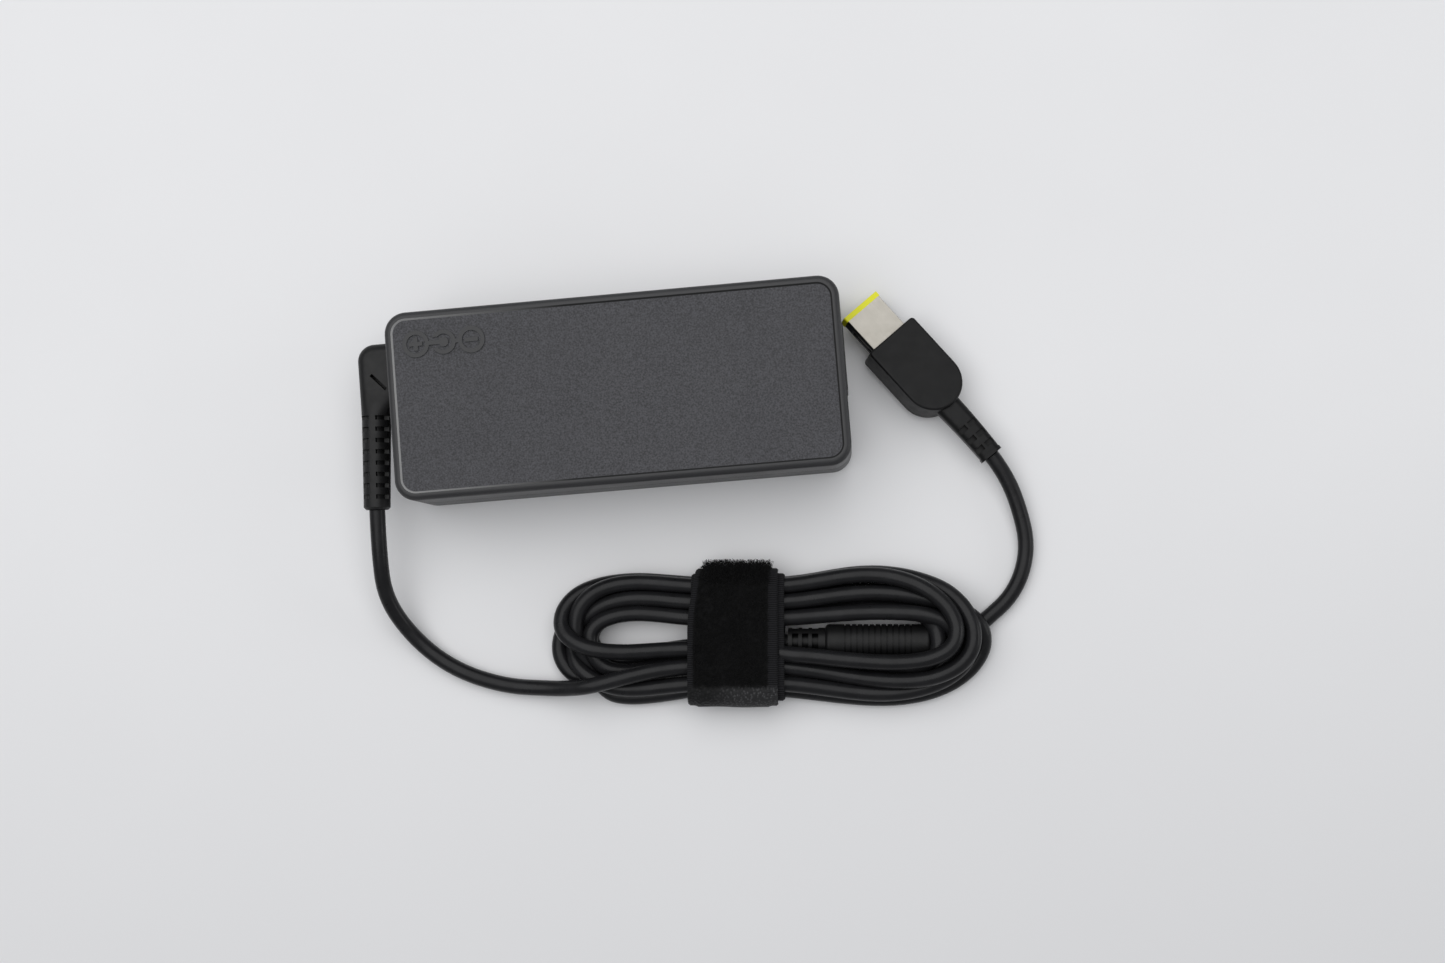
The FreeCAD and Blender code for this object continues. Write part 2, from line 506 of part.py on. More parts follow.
def make_outlet_elbow():
    """The moulded right-angle relief: neck, collar, elbow block, taper and ribbed sleeve."""
    wall_x = -CASE_L / 2
    neck = cylinder(OUTLET_NECK_R, WALL + 0.1, (wall_x - 0.05, OUTLET_Y, OUTLET_Z), (1, 0, 0))
    collar = cylinder(OUTLET_COLLAR_R, OUTLET_COLLAR_T, (wall_x + WALL + 0.05, OUTLET_Y,
                      OUTLET_Z), (1, 0, 0))
    top_y = OUTLET_Y + OUTLET_BLOCK_TOP
    low_y = top_y - OUTLET_BLOCK_W
    half_h = OUTLET_BLOCK_H / 2
    elbow = box(wall_x - OUTLET_REACH, wall_x, low_y, top_y, OUTLET_Z - half_h,
                OUTLET_Z + half_h)
    corner = [e for e in elbow.Edges if e.BoundBox.XMax < wall_x - 1
              and e.BoundBox.ZLength > 1 and e.BoundBox.YMin > OUTLET_Y]
    elbow = elbow.makeFillet(4.3, corner)
    for z in (OUTLET_Z + half_h, OUTLET_Z - half_h):
        rim = [e for e in level_edges(elbow, z)
               if not (e.BoundBox.XMin > wall_x - 0.01 or e.BoundBox.YMax < low_y + 0.01)]
        elbow = elbow.makeFillet(2.6, rim)
    start, end = sleeve_axis()
    along = end - start
    step = V(along).normalize()
    head_end = [f for f in elbow.Faces if f.BoundBox.YMax < low_y + 0.01][0]
    taper_end = start + step * ((start.y - low_y) / abs(step.y) + OUTLET_TAPER_L)
    round_end = Part.Wire(Part.makeCircle(SLEEVE_R_START - 0.05, taper_end, step))
    elbow = elbow.fuse(Part.makeLoft([head_end.OuterWire, round_end], True))
    sleeve = Part.makeCone(SLEEVE_R_START, SLEEVE_R_END, along.Length - SLEEVE_BEVEL, start, step)
    bevel = Part.makeCone(SLEEVE_R_END, SLEEVE_R_END - SLEEVE_BEVEL, SLEEVE_BEVEL,
                          end - step * SLEEVE_BEVEL, step)
    body = elbow.fuse(sleeve).fuse(bevel)
    for i in range(SLOT_ROWS):
        distance = (SLEEVE_START[1] - SLOT_FIRST_Y + i * SLOT_PITCH) / abs(step.y)
        middle = start + step * (distance - SLOT_WIDTH / 2)
        cut = Part.makeCylinder(6, SLOT_WIDTH, middle, step)
        cut = cut.cut(Part.makeCylinder(SLOT_FLOOR_R, SLOT_WIDTH, middle, step))
        for angle in (SLOT_ROLL, SLOT_ROLL + 90):
            spine = Part.makeBox(20, SLOT_WIDTH + 2, SLOT_SPINE_W,
                                 V(-10, -1, -SLOT_SPINE_W / 2))
            spine.rotate(V(0, 0, 0), V(0, 1, 0), angle + 90)
            spine.translate(middle + step * (SLOT_WIDTH))
            cut = cut.cut(spine)
        body = body.cut(cut)
    slit = box(-SLIT_L / 2, SLIT_L / 2, -SLIT_W / 2, SLIT_W / 2, 0, 6)
    slit.rotate(V(0, 0, 0), V(0, 0, 1), SLIT_ANGLE)
    slit.translate(V(SLIT_POS[0], SLIT_POS[1], OUTLET_Z + half_h - SLIT_DEPTH))
    return body.cut(slit).fuse(neck).fuse(collar)


# ---------------------------------------------------------------- hank, strap and ferrite
def closed_curve_prism(points, z0, z1):
    curve = Part.BSplineCurve()
    curve.interpolate([V(x, y, z0) for x, y in points], True)
    face = Part.Face(Part.Wire(curve.toShape()))
    return face.extrude(V(0, 0, z1 - z0))


def capsule(s0, s1, t0, t1, z0, z1):
    body = box(s0, s1, t0, t1, z0, z1)
    uprights = [e for e in body.Edges if e.BoundBox.ZLength > 0.1]
    return body.makeFillet((t1 - t0) * 0.45, uprights)


def make_cord_hank():
    """The outer shape of the wound cord: two bulging ends and the neck inside the strap."""
    outline = [(-12.0, 15.4), (-27.0, 16.4), (-41.0, 13.0), (-46.8, 4.0), (-44.5, -7.0),
               (-34.0, -15.0), (-20.0, -16.8), (0.0, -16.2), (22.0, -15.8), (40.0, -17.4),
               (55.0, -13.2), (64.6, -2.0), (60.5, 9.0), (48.0, 16.4), (34.0, 18.6),
               (18.0, 16.6), (3.0, 15.6)]
    neck_s = (-11.9, 13.3)
    bulk = closed_curve_prism(outline, 0, HANK_RIGHT_H)
    left = bulk.common(box(-60, neck_s[0], -30, 30, 0, HANK_LEFT_H))
    right = bulk.common(box(neck_s[1], 80, -30, 30, 0, HANK_RIGHT_H))
    neck = box(neck_s[0], neck_s[1], STRAP_IN_T[0] + 0.1, STRAP_IN_T[1] - 0.1,
               STRAP_T + 0.1, STRAP_T + STRAP_IN_H - 0.1)
    neck = neck.makeFillet(2.4, [e for e in neck.Edges if e.BoundBox.XLength > 1])
    left = left.cut(capsule(-34.0, neck_s[0] + 3, -2.6, 3.6, -1, 20))
    pocket = capsule(neck_s[1] - 3, FERRITE_RELIEF_S[1], FERRITE_T - 5.4, FERRITE_T + 5.7, -1, 20)
    right = right.cut(pocket)
    return on_hank(left.fuse(neck).fuse(right))


def strap_outline(inset):
    """The strap's closed section across the hank, drawn in the YZ plane."""
    t0, t1 = STRAP_IN_T[0] - STRAP_T + inset, STRAP_IN_T[1] + STRAP_T - inset
    z0, z1 = inset, STRAP_IN_H + 2 * STRAP_T - inset
    return t0, t1, z0, z1


def strap_prism(inset, s0, s1):
    t0, t1, z0, z1 = strap_outline(inset)
    body = box(s0, s1, t0, t1, z0, z1)
    return body.makeFillet(STRAP_CORNER_R - inset, [e for e in body.Edges
                                                    if e.BoundBox.XLength > 1])


def make_strap_band():
    band = strap_prism(0.0, *STRAP_S)
    return on_hank(band.cut(strap_prism(STRAP_T, STRAP_S[0] - 1, STRAP_S[1] + 1)))


def strap_hinge():
    """The far edge of the band's top, about which the free end peels."""
    _, far_t, _, top_z = strap_outline(0.0)
    return far_t - STRAP_CORNER_R + PEEL_PAST_CORNER, top_z + STRAP_GAP + STRAP_TAB_T / 2


def make_strap_tab():
    """The free end: flat over the top of the band and bent down over its near edge."""
    near_t, _, _, top_z = strap_outline(0.0)
    s0, s1 = STRAP_TAB_S
    hinge_t, hinge_z = strap_hinge()
    inner_r = STRAP_CORNER_R + STRAP_GAP
    outer_r = inner_r + STRAP_TAB_T
    bend_t, bend_z = near_t + STRAP_CORNER_R, top_z - STRAP_CORNER_R
    flat = box(s0, s1, bend_t, hinge_t, top_z + STRAP_GAP, top_z + STRAP_GAP + STRAP_TAB_T)
    root = cylinder(STRAP_TAB_T / 2, s1 - s0, (s0, hinge_t, hinge_z), (1, 0, 0))
    bend = cylinder(outer_r, s1 - s0, (s0, bend_t, bend_z), (1, 0, 0))
    bend = bend.cut(cylinder(inner_r, s1 - s0, (s0, bend_t, bend_z), (1, 0, 0)))
    bend = bend.common(box(s0, s1, bend_t - outer_r, bend_t, bend_z, bend_z + outer_r))
    skirt = box(s0, s1, bend_t - outer_r, bend_t - inner_r, bend_z - STRAP_TAB_SKIRT, bend_z)
    return on_hank(flat.fuse(root).fuse(bend).fuse(skirt))


def along_ferrite(radius, s0, s1):
    return cylinder(radius, s1 - s0, (s0, FERRITE_T, FERRITE_Z), (1, 0, 0))


def ferrite_relief(radius, s0, s1, windows):
    """A short sleeve at an end of the ferrite with rows of windows on all four sides."""
    relief = along_ferrite(radius, s0, s1)
    floor = along_ferrite(CORD_D / 2 + 0.2, s0 - 1, s1 + 1)
    half = FERRITE_WINDOW_W / 2
    for s in windows:
        upright = box(s, s + FERRITE_WINDOW_L, FERRITE_T - half, FERRITE_T + half, 0, CASE_H)
        level = box(s, s + FERRITE_WINDOW_L, FERRITE_T - 5, FERRITE_T + 5, FERRITE_Z - half * 0.6,
                    FERRITE_Z + half * 0.6)
        for window in (upright, level):
            relief = relief.cut(window.cut(floor))
    return relief


def make_ferrite_overmould():
    """The grooved sleeve over the ferrite with a windowed relief at each end."""
    s0, s1 = FERRITE_S
    r0, r1 = FERRITE_RELIEF_S
    body = along_ferrite(FERRITE_R, s0, s1)
    body = body.makeFillet(1.0, [e for e in body.Edges if len(e.Vertexes) == 1])
    middle = (s0 + s1) / 2
    for i in range(FERRITE_GROOVES):
        s = middle + (i - (FERRITE_GROOVES - 1) / 2) * FERRITE_GROOVE_PITCH - FERRITE_GROOVE_W / 2
        groove = along_ferrite(FERRITE_R + 1, s, s + FERRITE_GROOVE_W)
        body = body.cut(groove.cut(along_ferrite(FERRITE_R - FERRITE_GROOVE_D, s, s + 1)))
    windows = [r0 + 1.0 + i * FERRITE_WINDOW_PITCH for i in range(3)]
    body = body.fuse(ferrite_relief(FERRITE_RELIEF_R, r0, s0 + 1, windows))
    collar_window = [r1 - 1.0 - FERRITE_WINDOW_L]
    body = body.fuse(ferrite_relief(FERRITE_COLLAR_R, s1 - 1, r1, collar_window))
    core_room = along_ferrite(FERRITE_CORE_R + 0.05, middle - FERRITE_CORE_L / 2 - 0.1,
                              middle + FERRITE_CORE_L / 2 + 0.1)
    bore = along_ferrite(CORD_D / 2 + 0.02, s0 - 20, s1 + 20)
    return on_hank(body.cut(core_room).cut(bore))


def make_ferrite_core():
    middle = (FERRITE_S[0] + FERRITE_S[1]) / 2
    s0, s1 = middle - FERRITE_CORE_L / 2, middle + FERRITE_CORE_L / 2
    return on_hank(along_ferrite(FERRITE_CORE_R, s0, s1).cut(
        along_ferrite(CORD_D / 2 + 0.02, s0 - 1, s1 + 1)))


def make_cord_through_ferrite():
    return on_hank(along_ferrite(CORD_D / 2, *FERRITE_RELIEF_S))


# ---------------------------------------------------------------- plug
def plug_bar(x0, x1, width, height, radius):
    body = box(x0, x1, -width / 2, width / 2, -height / 2, height / 2)
    return body.makeFillet(radius, [e for e in body.Edges if e.BoundBox.XLength > 0.5])


def plug_mouth():
    return plug_bar(-1, PLUG_MOUTH_L, PLUG_MOUTH_W, PLUG_MOUTH_H, 0.4)


def make_plug_frame():
    frame = plug_bar(0, PLUG_FRAME_L, PLUG_W + 0.2, PLUG_H + 0.1, 0.5)
    return on_plug(frame.cut(plug_mouth()))


def side_slots():
    slots = []
    for side in (-1, 1):
        y0, y1 = sorted((side * (PLUG_W / 2 - 0.7), side * (PLUG_W / 2 + 1)))
        slots.append(box(4.2, PLUG_L, y0, y1, -0.7, 0.7))
    return slots


def make_plug_core():
    """The black insulating body between the two metal plates."""
    core = plug_bar(PLUG_FRAME_L, PLUG_L + 3, PLUG_W, PLUG_H - 2 * PLUG_PLATE_T, 0.7)
    core = core.cut(plug_mouth())
    for slot in side_slots():
        core = core.cut(slot)
    return on_plug(core)


def make_plug_plates():
    """The two metal contact plates, one above and one below the insulating body."""
    z = PLUG_H / 2
    width = PLUG_W - 2 * PLUG_PLATE_MARGIN
    upper = box(PLUG_FRAME_L, PLUG_L + 2, -width / 2, width / 2, z - PLUG_PLATE_T, z)
    lower = box(PLUG_FRAME_L, PLUG_L + 2, -width / 2, width / 2, -z, -z + PLUG_PLATE_T)
    return on_plug(Part.makeCompound([upper, lower]))


def make_plug_side_contacts():
    contacts = []
    for side in (-1, 1):
        y0, y1 = sorted((side * (PLUG_W / 2 - 0.7), side * (PLUG_W / 2 - 0.25)))
        contacts.append(box(5.6, 9.6, y0, y1, -0.4, 0.4))
    return on_plug(Part.makeCompound(contacts))


def make_plug_centre_pin():
    return on_plug(box(2.6, PLUG_MOUTH_L, -0.6, 0.6, -0.45, 0.45))


def grip_blank():
    """The tongue shape of the grip: straight sides and a half-round cord end."""
    half = GRIP_W / 2
    straight_end = PLUG_L + GRIP_L - half
    plan = box(PLUG_L, straight_end, -half, half, -GRIP_H / 2, GRIP_H / 2)
    front = [e for e in plan.Edges if e.BoundBox.ZLength > 1 and e.BoundBox.XMax < PLUG_L + 1]
    plan = plan.makeFillet(1.0, front)
    plan = plan.fuse(cylinder(half, GRIP_H, (straight_end, 0, -GRIP_H / 2))).removeSplitter()
    rims = level_edges(plan, GRIP_H / 2) + level_edges(plan, -GRIP_H / 2)
    return plan.makeFillet(GRIP_EDGE_R, rims)


def relief_path():
    start, end = V(*RELIEF_START), V(*RELIEF_END)
    chord = end - start
    heading = math.radians(RELIEF_START_ANGLE)
    tangent = V(math.cos(heading), math.sin(heading), 0)
    bend = tangent.getAngle(chord)
    sag = chord.Length / 2 * math.tan(bend / 2)
    outward = tangent - chord * (tangent.dot(chord) / chord.dot(chord))
    middle = (start + end) * 0.5 + outward.normalize() * sag
    return Part.Arc(start, middle, end)


def square_section(centre, along, width):
    """A rounded square wire across a direction, upright in Z."""
    body = box(-0.5, 0.5, -width / 2, width / 2, -width / 2, width / 2)
    body = body.makeFillet(width * 0.28, [e for e in body.Edges if e.BoundBox.XLength > 0.5])
    end_face = [f for f in body.Faces if f.BoundBox.XMax < -0.4][0]
    wire = end_face.OuterWire
    wire.translate(V(0.5, 0, 0))
    wire.rotate(V(0, 0, 0), V(0, 0, 1), math.degrees(math.atan2(along.y, along.x)))
    wire.translate(centre)
    return wire


def make_plug_relief():
    """The square strain relief: tapering, with a lip at its end and slots above and below."""
    arc = relief_path()
    first, last = arc.FirstParameter, arc.LastParameter
    ends = [square_section(arc.value(at), arc.tangent(at)[0], width)
            for at, width in ((first, RELIEF_START_W), (last, RELIEF_END_W))]
    relief = Part.Wire(arc.toShape()).makePipeShell(ends, True, False)
    along = arc.tangent(last)[0]
    lip = square_section(arc.value(last), along, RELIEF_LIP_W)
    relief = relief.fuse(Part.Face(lip).extrude(along * -RELIEF_LIP_L))
    for share in RELIEF_SLOTS:
        at = first + (last - first) * share
        centre, heading = arc.value(at), arc.tangent(at)[0]
        turn = math.degrees(math.atan2(heading.y, heading.x))
        for low, high in ((RELIEF_SLOT_FLOOR, 5), (-5, -RELIEF_SLOT_FLOOR)):
            for a, b in ((0.35, 2.6), (-2.6, -0.35)):
                slot = box(-RELIEF_SLOT_W / 2, RELIEF_SLOT_W / 2, a, b, low, high)
                slot.rotate(V(0, 0, 0), V(0, 0, 1), turn)
                slot.translate(centre)
                relief = relief.cut(slot)
    return relief


def make_plug_grip():
    grip = grip_blank()
    grip = grip.cut(plug_bar(PLUG_L - 1, PLUG_L + 3, PLUG_W, PLUG_H - 2 * PLUG_PLATE_T, 0.7))
    width = PLUG_W - 2 * PLUG_PLATE_MARGIN
    grip = grip.cut(box(PLUG_L - 1, PLUG_L + 2, -width / 2, width / 2, -PLUG_H / 2, PLUG_H / 2))
    return on_plug(grip)


# ---------------------------------------------------------------- write the parts
def main():
    save("top_cover", make_top_cover())
    save("bottom_cover", make_bottom_cover())
    save("rating_label", make_rating_label())
    save("inlet_housing", make_inlet_housing())
    save("inlet_pins", make_inlet_pins())
    for name, shape in electronics().items():
        save(name, shape)
    save("outlet_elbow", make_outlet_elbow())
    save("cord_lead_in", tube("cord_lead_in", LEAD_IN, CORD_D))
    save("cord_hank", make_cord_hank())
    save("cord_through_ferrite", make_cord_through_ferrite())
    save("cord_lead_out", tube("cord_lead_out", LEAD_OUT, CORD_D))
    save("strap_band", make_strap_band())
    save("strap_tab", make_strap_tab())
    save("ferrite_core", make_ferrite_core())
    save("ferrite_overmould", make_ferrite_overmould())
    relief = make_plug_relief()
    save("plug_relief", relief)
    save("plug_grip", make_plug_grip().cut(relief))
    save("plug_frame", make_plug_frame())
    save("plug_core", make_plug_core())
    save("plug_plates", make_plug_plates())
    save("plug_side_contacts", make_plug_side_contacts())
    save("plug_centre_pin", make_plug_centre_pin())
    hinge_t, hinge_z = strap_hinge()
    turn = math.radians(HANK_ANGLE)
    print("strap hinge at", HANK_POS[0] - hinge_t * math.sin(turn),
          HANK_POS[1] + hinge_t * math.cos(turn), hinge_z)


main()
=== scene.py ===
import math

import bmesh
import bpy
import numpy as np
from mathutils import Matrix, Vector


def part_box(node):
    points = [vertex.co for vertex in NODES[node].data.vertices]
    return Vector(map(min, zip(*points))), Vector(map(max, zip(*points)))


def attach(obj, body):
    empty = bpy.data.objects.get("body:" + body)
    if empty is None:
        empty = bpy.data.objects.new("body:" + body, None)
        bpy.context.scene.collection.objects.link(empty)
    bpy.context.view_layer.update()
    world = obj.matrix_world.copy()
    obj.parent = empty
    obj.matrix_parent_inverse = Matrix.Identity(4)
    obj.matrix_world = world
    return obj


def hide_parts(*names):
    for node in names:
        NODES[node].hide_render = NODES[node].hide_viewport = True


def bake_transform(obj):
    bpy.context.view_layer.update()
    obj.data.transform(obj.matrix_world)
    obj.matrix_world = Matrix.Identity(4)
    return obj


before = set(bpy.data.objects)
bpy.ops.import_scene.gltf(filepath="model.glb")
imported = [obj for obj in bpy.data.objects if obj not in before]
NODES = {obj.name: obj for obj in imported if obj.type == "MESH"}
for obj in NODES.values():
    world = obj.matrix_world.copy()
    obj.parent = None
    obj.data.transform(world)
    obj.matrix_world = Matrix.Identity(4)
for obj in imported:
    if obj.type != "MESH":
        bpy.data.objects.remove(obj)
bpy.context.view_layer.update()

# A laptop power adapter: the welded casing and moulded pieces come from the frame and get their
# finishes here.  The cord with its wound hank and the hook-and-loop strap are made here.
MM = 0.001
SEED = 7

# ---------------------------------------------------------------- camera and light
CAMERA_PLACE = (0.0530, -0.05554, 0.51087)
CAMERA_TURN = (3.350, 3.703, -4.576)
CAMERA_LENS, CAMERA_SENSOR = 49.83, 36.0


def add_camera():
    data = bpy.data.cameras.new("view")
    data.lens = CAMERA_LENS
    data.sensor_width = CAMERA_SENSOR
    data.clip_start = 0.01
    camera = bpy.data.objects.new("view", data)
    camera.location = CAMERA_PLACE
    camera.rotation_euler = [math.radians(a) for a in CAMERA_TURN]
    bpy.context.scene.collection.objects.link(camera)
    bpy.context.scene.camera = camera


def add_area_light(name, place, target, size, power):
    data = bpy.data.lights.new(name, "AREA")
    data.shape = "RECTANGLE"
    data.size, data.size_y = size
    data.energy = power
    light = bpy.data.objects.new(name, data)
    light.location = place
    light.rotation_euler = (Vector(target) - Vector(place)).to_track_quat("-Z", "Y").to_euler()
    bpy.context.scene.collection.objects.link(light)


def add_world(colour, strength):
    world = bpy.data.worlds.new("studio")
    world.use_nodes = True
    background = world.node_tree.nodes["Background"]
    background.inputs["Color"].default_value = (*colour, 1.0)
    background.inputs["Strength"].default_value = strength
    bpy.context.scene.world = world


# ---------------------------------------------------------------- node helpers
class Finish:
    """A material under construction: a Principled shader and the nodes that feed it."""

    def __init__(self, name, **sockets):
        self.material = bpy.data.materials.new(name)
        self.material.use_nodes = True
        self.tree = self.material.node_tree
        self.tree.nodes.clear()
        self.shader = self.add("BsdfPrincipled")
        out = self.add("OutputMaterial")
        self.join(self.shader.outputs["BSDF"], out.inputs["Surface"])
        coordinates = self.add("TexCoord")
        self.place = coordinates.outputs["Object"]
        self.flat = coordinates.outputs["UV"]
        for socket, value in sockets.items():
            self.shader.inputs[socket.replace("_", " ")].default_value = value

    def add(self, kind):
        return self.tree.nodes.new("ShaderNode" + kind)

    def join(self, source, target):
        self.tree.links.new(source, target)

    def stretched(self, scale, turn=(0.0, 0.0, 0.0), source=None):
        mapping = self.add("Mapping")
        mapping.inputs["Scale"].default_value = scale
        mapping.inputs["Rotation"].default_value = turn
        self.join(source or self.place, mapping.inputs["Vector"])
        return mapping.outputs["Vector"]

    def noise(self, size_mm, detail=2.0, roughness=0.5, place=None):
        node = self.add("TexNoise")
        node.inputs["Scale"].default_value = 1.0 / (size_mm * MM)
        node.inputs["Detail"].default_value = detail
        node.inputs["Roughness"].default_value = roughness
        self.join(place or self.place, node.inputs["Vector"])
        return node.outputs["Fac"]

    def cells(self, size_mm, place=None):
        node = self.add("TexVoronoi")
        node.inputs["Scale"].default_value = 1.0 / (size_mm * MM)
        self.join(place or self.place, node.inputs["Vector"])
        return node.outputs["Distance"]

    def spread(self, value, low, high, out_low, out_high):
        """Map a value's range to another range, clamped."""
        node = self.add("MapRange")
        for socket, number in zip(("From Min", "From Max", "To Min", "To Max"),
                                  (low, high, out_low, out_high)):
            node.inputs[socket].default_value = number
        self.join(value, node.inputs["Value"])
        return node.outputs["Result"]

    def math(self, operation, a, b=None):
        node = self.add("Math")
        node.operation = operation
        for socket, value in zip(node.inputs, (a, b)):
            if isinstance(value, (int, float)):
                socket.default_value = value
            elif value is not None:
                self.join(value, socket)
        return node.outputs["Value"]

    def axis(self, index, source=None):
        node = self.add("SeparateXYZ")
        self.join(source or self.place, node.inputs["Vector"])
        return node.outputs[index]

    def blend_colours(self, factor, low, high):
        node = self.add("Mix")
        node.data_type = "RGBA"
        self.join(factor, node.inputs["Factor"])
        colours = [s for s in node.inputs if s.type == "RGBA"]
        for socket, value in zip(colours, (low, high)):
            if isinstance(value, tuple):
                socket.default_value = (*value, 1.0)
            else:
                self.join(value, socket)
        return [s for s in node.outputs if s.type == "RGBA"][0]

    def colour(self, source):
        self.join(source, self.shader.inputs["Base Color"])

    def rough(self, source):
        self.join(source, self.shader.inputs["Roughness"])

    def relief(self, *layers):
        """Stack bump layers given as (height source, depth in mm)."""
        normal = None
        for height, depth in layers:
            node = self.add("Bump")
            node.inputs["Strength"].default_value = 1.0
            node.inputs["Distance"].default_value = depth * MM
            self.join(height, node.inputs["Height"])
            if normal is not None:
                self.join(normal, node.inputs["Normal"])
            normal = node.outputs["Normal"]
        self.join(normal, self.shader.inputs["Normal"])


def grey(value, tint=0.0):
    """A grey, a little blue where tint is above zero."""
    return (value, value, value * (1.0 + tint))


def paint(finish, *names):
    """Give nodes of the frame a finish."""
    for name in names:
        node = NODES[name]
        if not node.material_slots:
            node.data.materials.append(finish.material)
        for place in node.material_slots:
            place.material = finish.material


# ---------------------------------------------------------------- finishes
# The panel sunk into the top cover: its margin, corner, depth and the slope round its edge, on which
# a highlight and shade are painted.
PANEL_INSET, PANEL_CORNER_R, PANEL_DEPTH = 1.75, 3.7, 0.4
PANEL_LEVEL_TOLERANCE = 0.01
SLOPE_MIDDLE, SLOPE_HALF_W = 0.2, 0.21
# Turns the plug's length about onto the x axis, for its brushing.
PLUG_TURN = 0.87


def casing_finish():
    """Charcoal plastic with a spark-eroded grain, deeper in the panel field of the top, and a
    painted highlight on the panel's edge slope that fades to painted shade towards the right.
    """
    f = Finish("casing_plastic", Roughness=0.5, IOR=1.47)
    along, across, height = (f.axis(k) for k in range(3))
    low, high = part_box("top_cover")
    off_level = f.math("ABSOLUTE", f.math("SUBTRACT", height, high.z - PANEL_DEPTH * MM))
    panel = f.math("LESS_THAN", off_level, PANEL_LEVEL_TOLERANCE * MM)
    corner = (PANEL_INSET + PANEL_CORNER_R) * MM
    out_x = f.math("MAXIMUM", f.math("SUBTRACT", f.math("ABSOLUTE", along), high.x - corner), 0.0)
    out_y = f.math("MAXIMUM", f.math("SUBTRACT", f.math("ABSOLUTE", across), high.y - corner), 0.0)
    out = f.math("SQRT", f.math("ADD", f.math("MULTIPLY", out_x, out_x),
                                f.math("MULTIPLY", out_y, out_y)))
    from_slope = f.math("ABSOLUTE", f.math("SUBTRACT", out, (PANEL_CORNER_R - SLOPE_MIDDLE) * MM))
    painted_slope = f.math("LESS_THAN", from_slope, SLOPE_HALF_W * MM)
    # Painted highlight and shade: the edge slope is painted light grey at the casing's left end,
    # fading to dark grey at the right, as if light caught it only on the left.
    painted_highlight_and_shade = f.spread(along, low.x, low.x * 0.2, 0.30, 0.012)
    grain = f.noise(0.36, 3.0, 0.66)
    speck = f.noise(0.42, 2.0, 0.6)
    shade = f.spread(speck, 0.34, 0.66, 0.0, 1.0)
    worn = f.noise(18.0, 3.0, 0.6)
    field = f.blend_colours(shade, grey(0.017, 0.14), grey(0.060, 0.14))
    rim = f.blend_colours(f.spread(worn, 0.3, 0.7, 0.0, 1.0), grey(0.019, 0.08), grey(0.024, 0.08))
    # On the edge slope the colour is the painted highlight and shade, not the plastic's own tone.
    f.colour(f.blend_colours(painted_slope, f.blend_colours(panel, rim, field), painted_highlight_and_shade))
    f.rough(f.spread(f.math("ADD", f.math("MULTIPLY", panel, 0.5), worn), 0.3, 1.2, 0.42, 0.58))
    depth = f.math("MULTIPLY", grain, f.spread(panel, 0.0, 1.0, 0.35, 1.0))
    f.relief((depth, 0.15), (f.noise(0.12, 1.0), 0.014))
    return f


def elastomer_finish(name, value, gloss, roughness):
    """Moulded flexible black plastic with a faint satin grain."""
    f = Finish(name, IOR=1.46, Specular_IOR_Level=gloss)
    worn = f.noise(7.0, 3.0, 0.6)
    f.colour(f.blend_colours(f.spread(worn, 0.3, 0.7, 0.0, 1.0), grey(value, 0.05),
                             grey(value * 1.5, 0.05)))
    f.rough(f.spread(f.noise(2.2, 2.0), 0.3, 0.7, *roughness))
    f.relief((f.noise(0.16, 2.0), 0.012), (worn, 0.03))
    return f


def cord_finish():
    """Black jacket with a satin, slightly uneven sheen."""
    f = Finish("cord_jacket", IOR=1.48, Specular_IOR_Level=0.22)
    worn = f.noise(5.0, 3.0, 0.6)
    f.colour(f.blend_colours(f.spread(worn, 0.35, 0.7, 0.0, 1.0), grey(0.0085, 0.10),
                             grey(0.0125, 0.10)))
    f.rough(f.spread(f.noise(3.0, 3.0), 0.3, 0.7, 0.25, 0.37))
    f.relief((f.noise(0.25, 2.0), 0.008), (f.noise(1.6, 2.0), 0.03))
    return f


def plug_metal_finish():
    """Nickel silver, finely brushed along the plug."""
    f = Finish("plug_metal", Metallic=1.0)
    lengthwise = f.stretched((1.0, 60.0, 60.0), source=f.stretched((1, 1, 1), (0, 0, PLUG_TURN)))
    brush = f.noise(8.0, 3.0, 0.7, lengthwise)
    haze = f.noise(3.0, 2.0)
    f.colour(f.blend_colours(f.spread(haze, 0.3, 0.7, 0.0, 1.0), (0.420, 0.397, 0.353),
                             (0.475, 0.451, 0.406)))
    f.rough(f.spread(brush, 0.3, 0.7, 0.42, 0.54))
    f.relief((brush, 0.004))
    return f


def plain_finish(name, low, high, roughness, size=3.0, grain=0.01, **sockets):
    """A two-tone mottled finish with a little grain, for small moulded or metal pieces."""
    f = Finish(name, **sockets)
    mottle = f.noise(size, 3.0, 0.6)
    f.colour(f.blend_colours(f.spread(mottle, 0.3, 0.7, 0.0, 1.0), low, high))
    f.rough(f.spread(f.noise(size * 0.6, 2.0), 0.3, 0.7, roughness * 0.85, roughness * 1.15))
    f.relief((f.noise(0.2, 2.0), grain))
    return f


# ---------------------------------------------------------------- the cord
CORD_D = 4.0
HANK_POS, HANK_ANGLE = np.array([22.75, -62.8]), math.radians(-4.5)

# The free stretches in the frame's axes, and where the cord climbs onto the hank in the hank's.
LEAD_IN = [(-64.1, -23.8, 14.3), (-64.7, -35.0, 13.2), (-65.0, -46.7, 8.0), (-58.8, -57.8, 2.6),
           (-49.3, -65.8, 2.1), (-37.2, -70.7, 2.1), (-26.4, -72.1, 3.0)]
LEAD_OUT = [(84.3, -64.7, 2.1), (93.9, -57.7, 2.1), (98.4, -46.6, 2.1), (96.6, -34.8, 3.0),
            (93.6, -26.6, 4.4), (90.9, -22.5, 5.0)]
CLIMB = [(-39.0, -12.8, 6.5), (-30.0, -10.6, 9.6), (-20.0, -8.0, 9.0)]

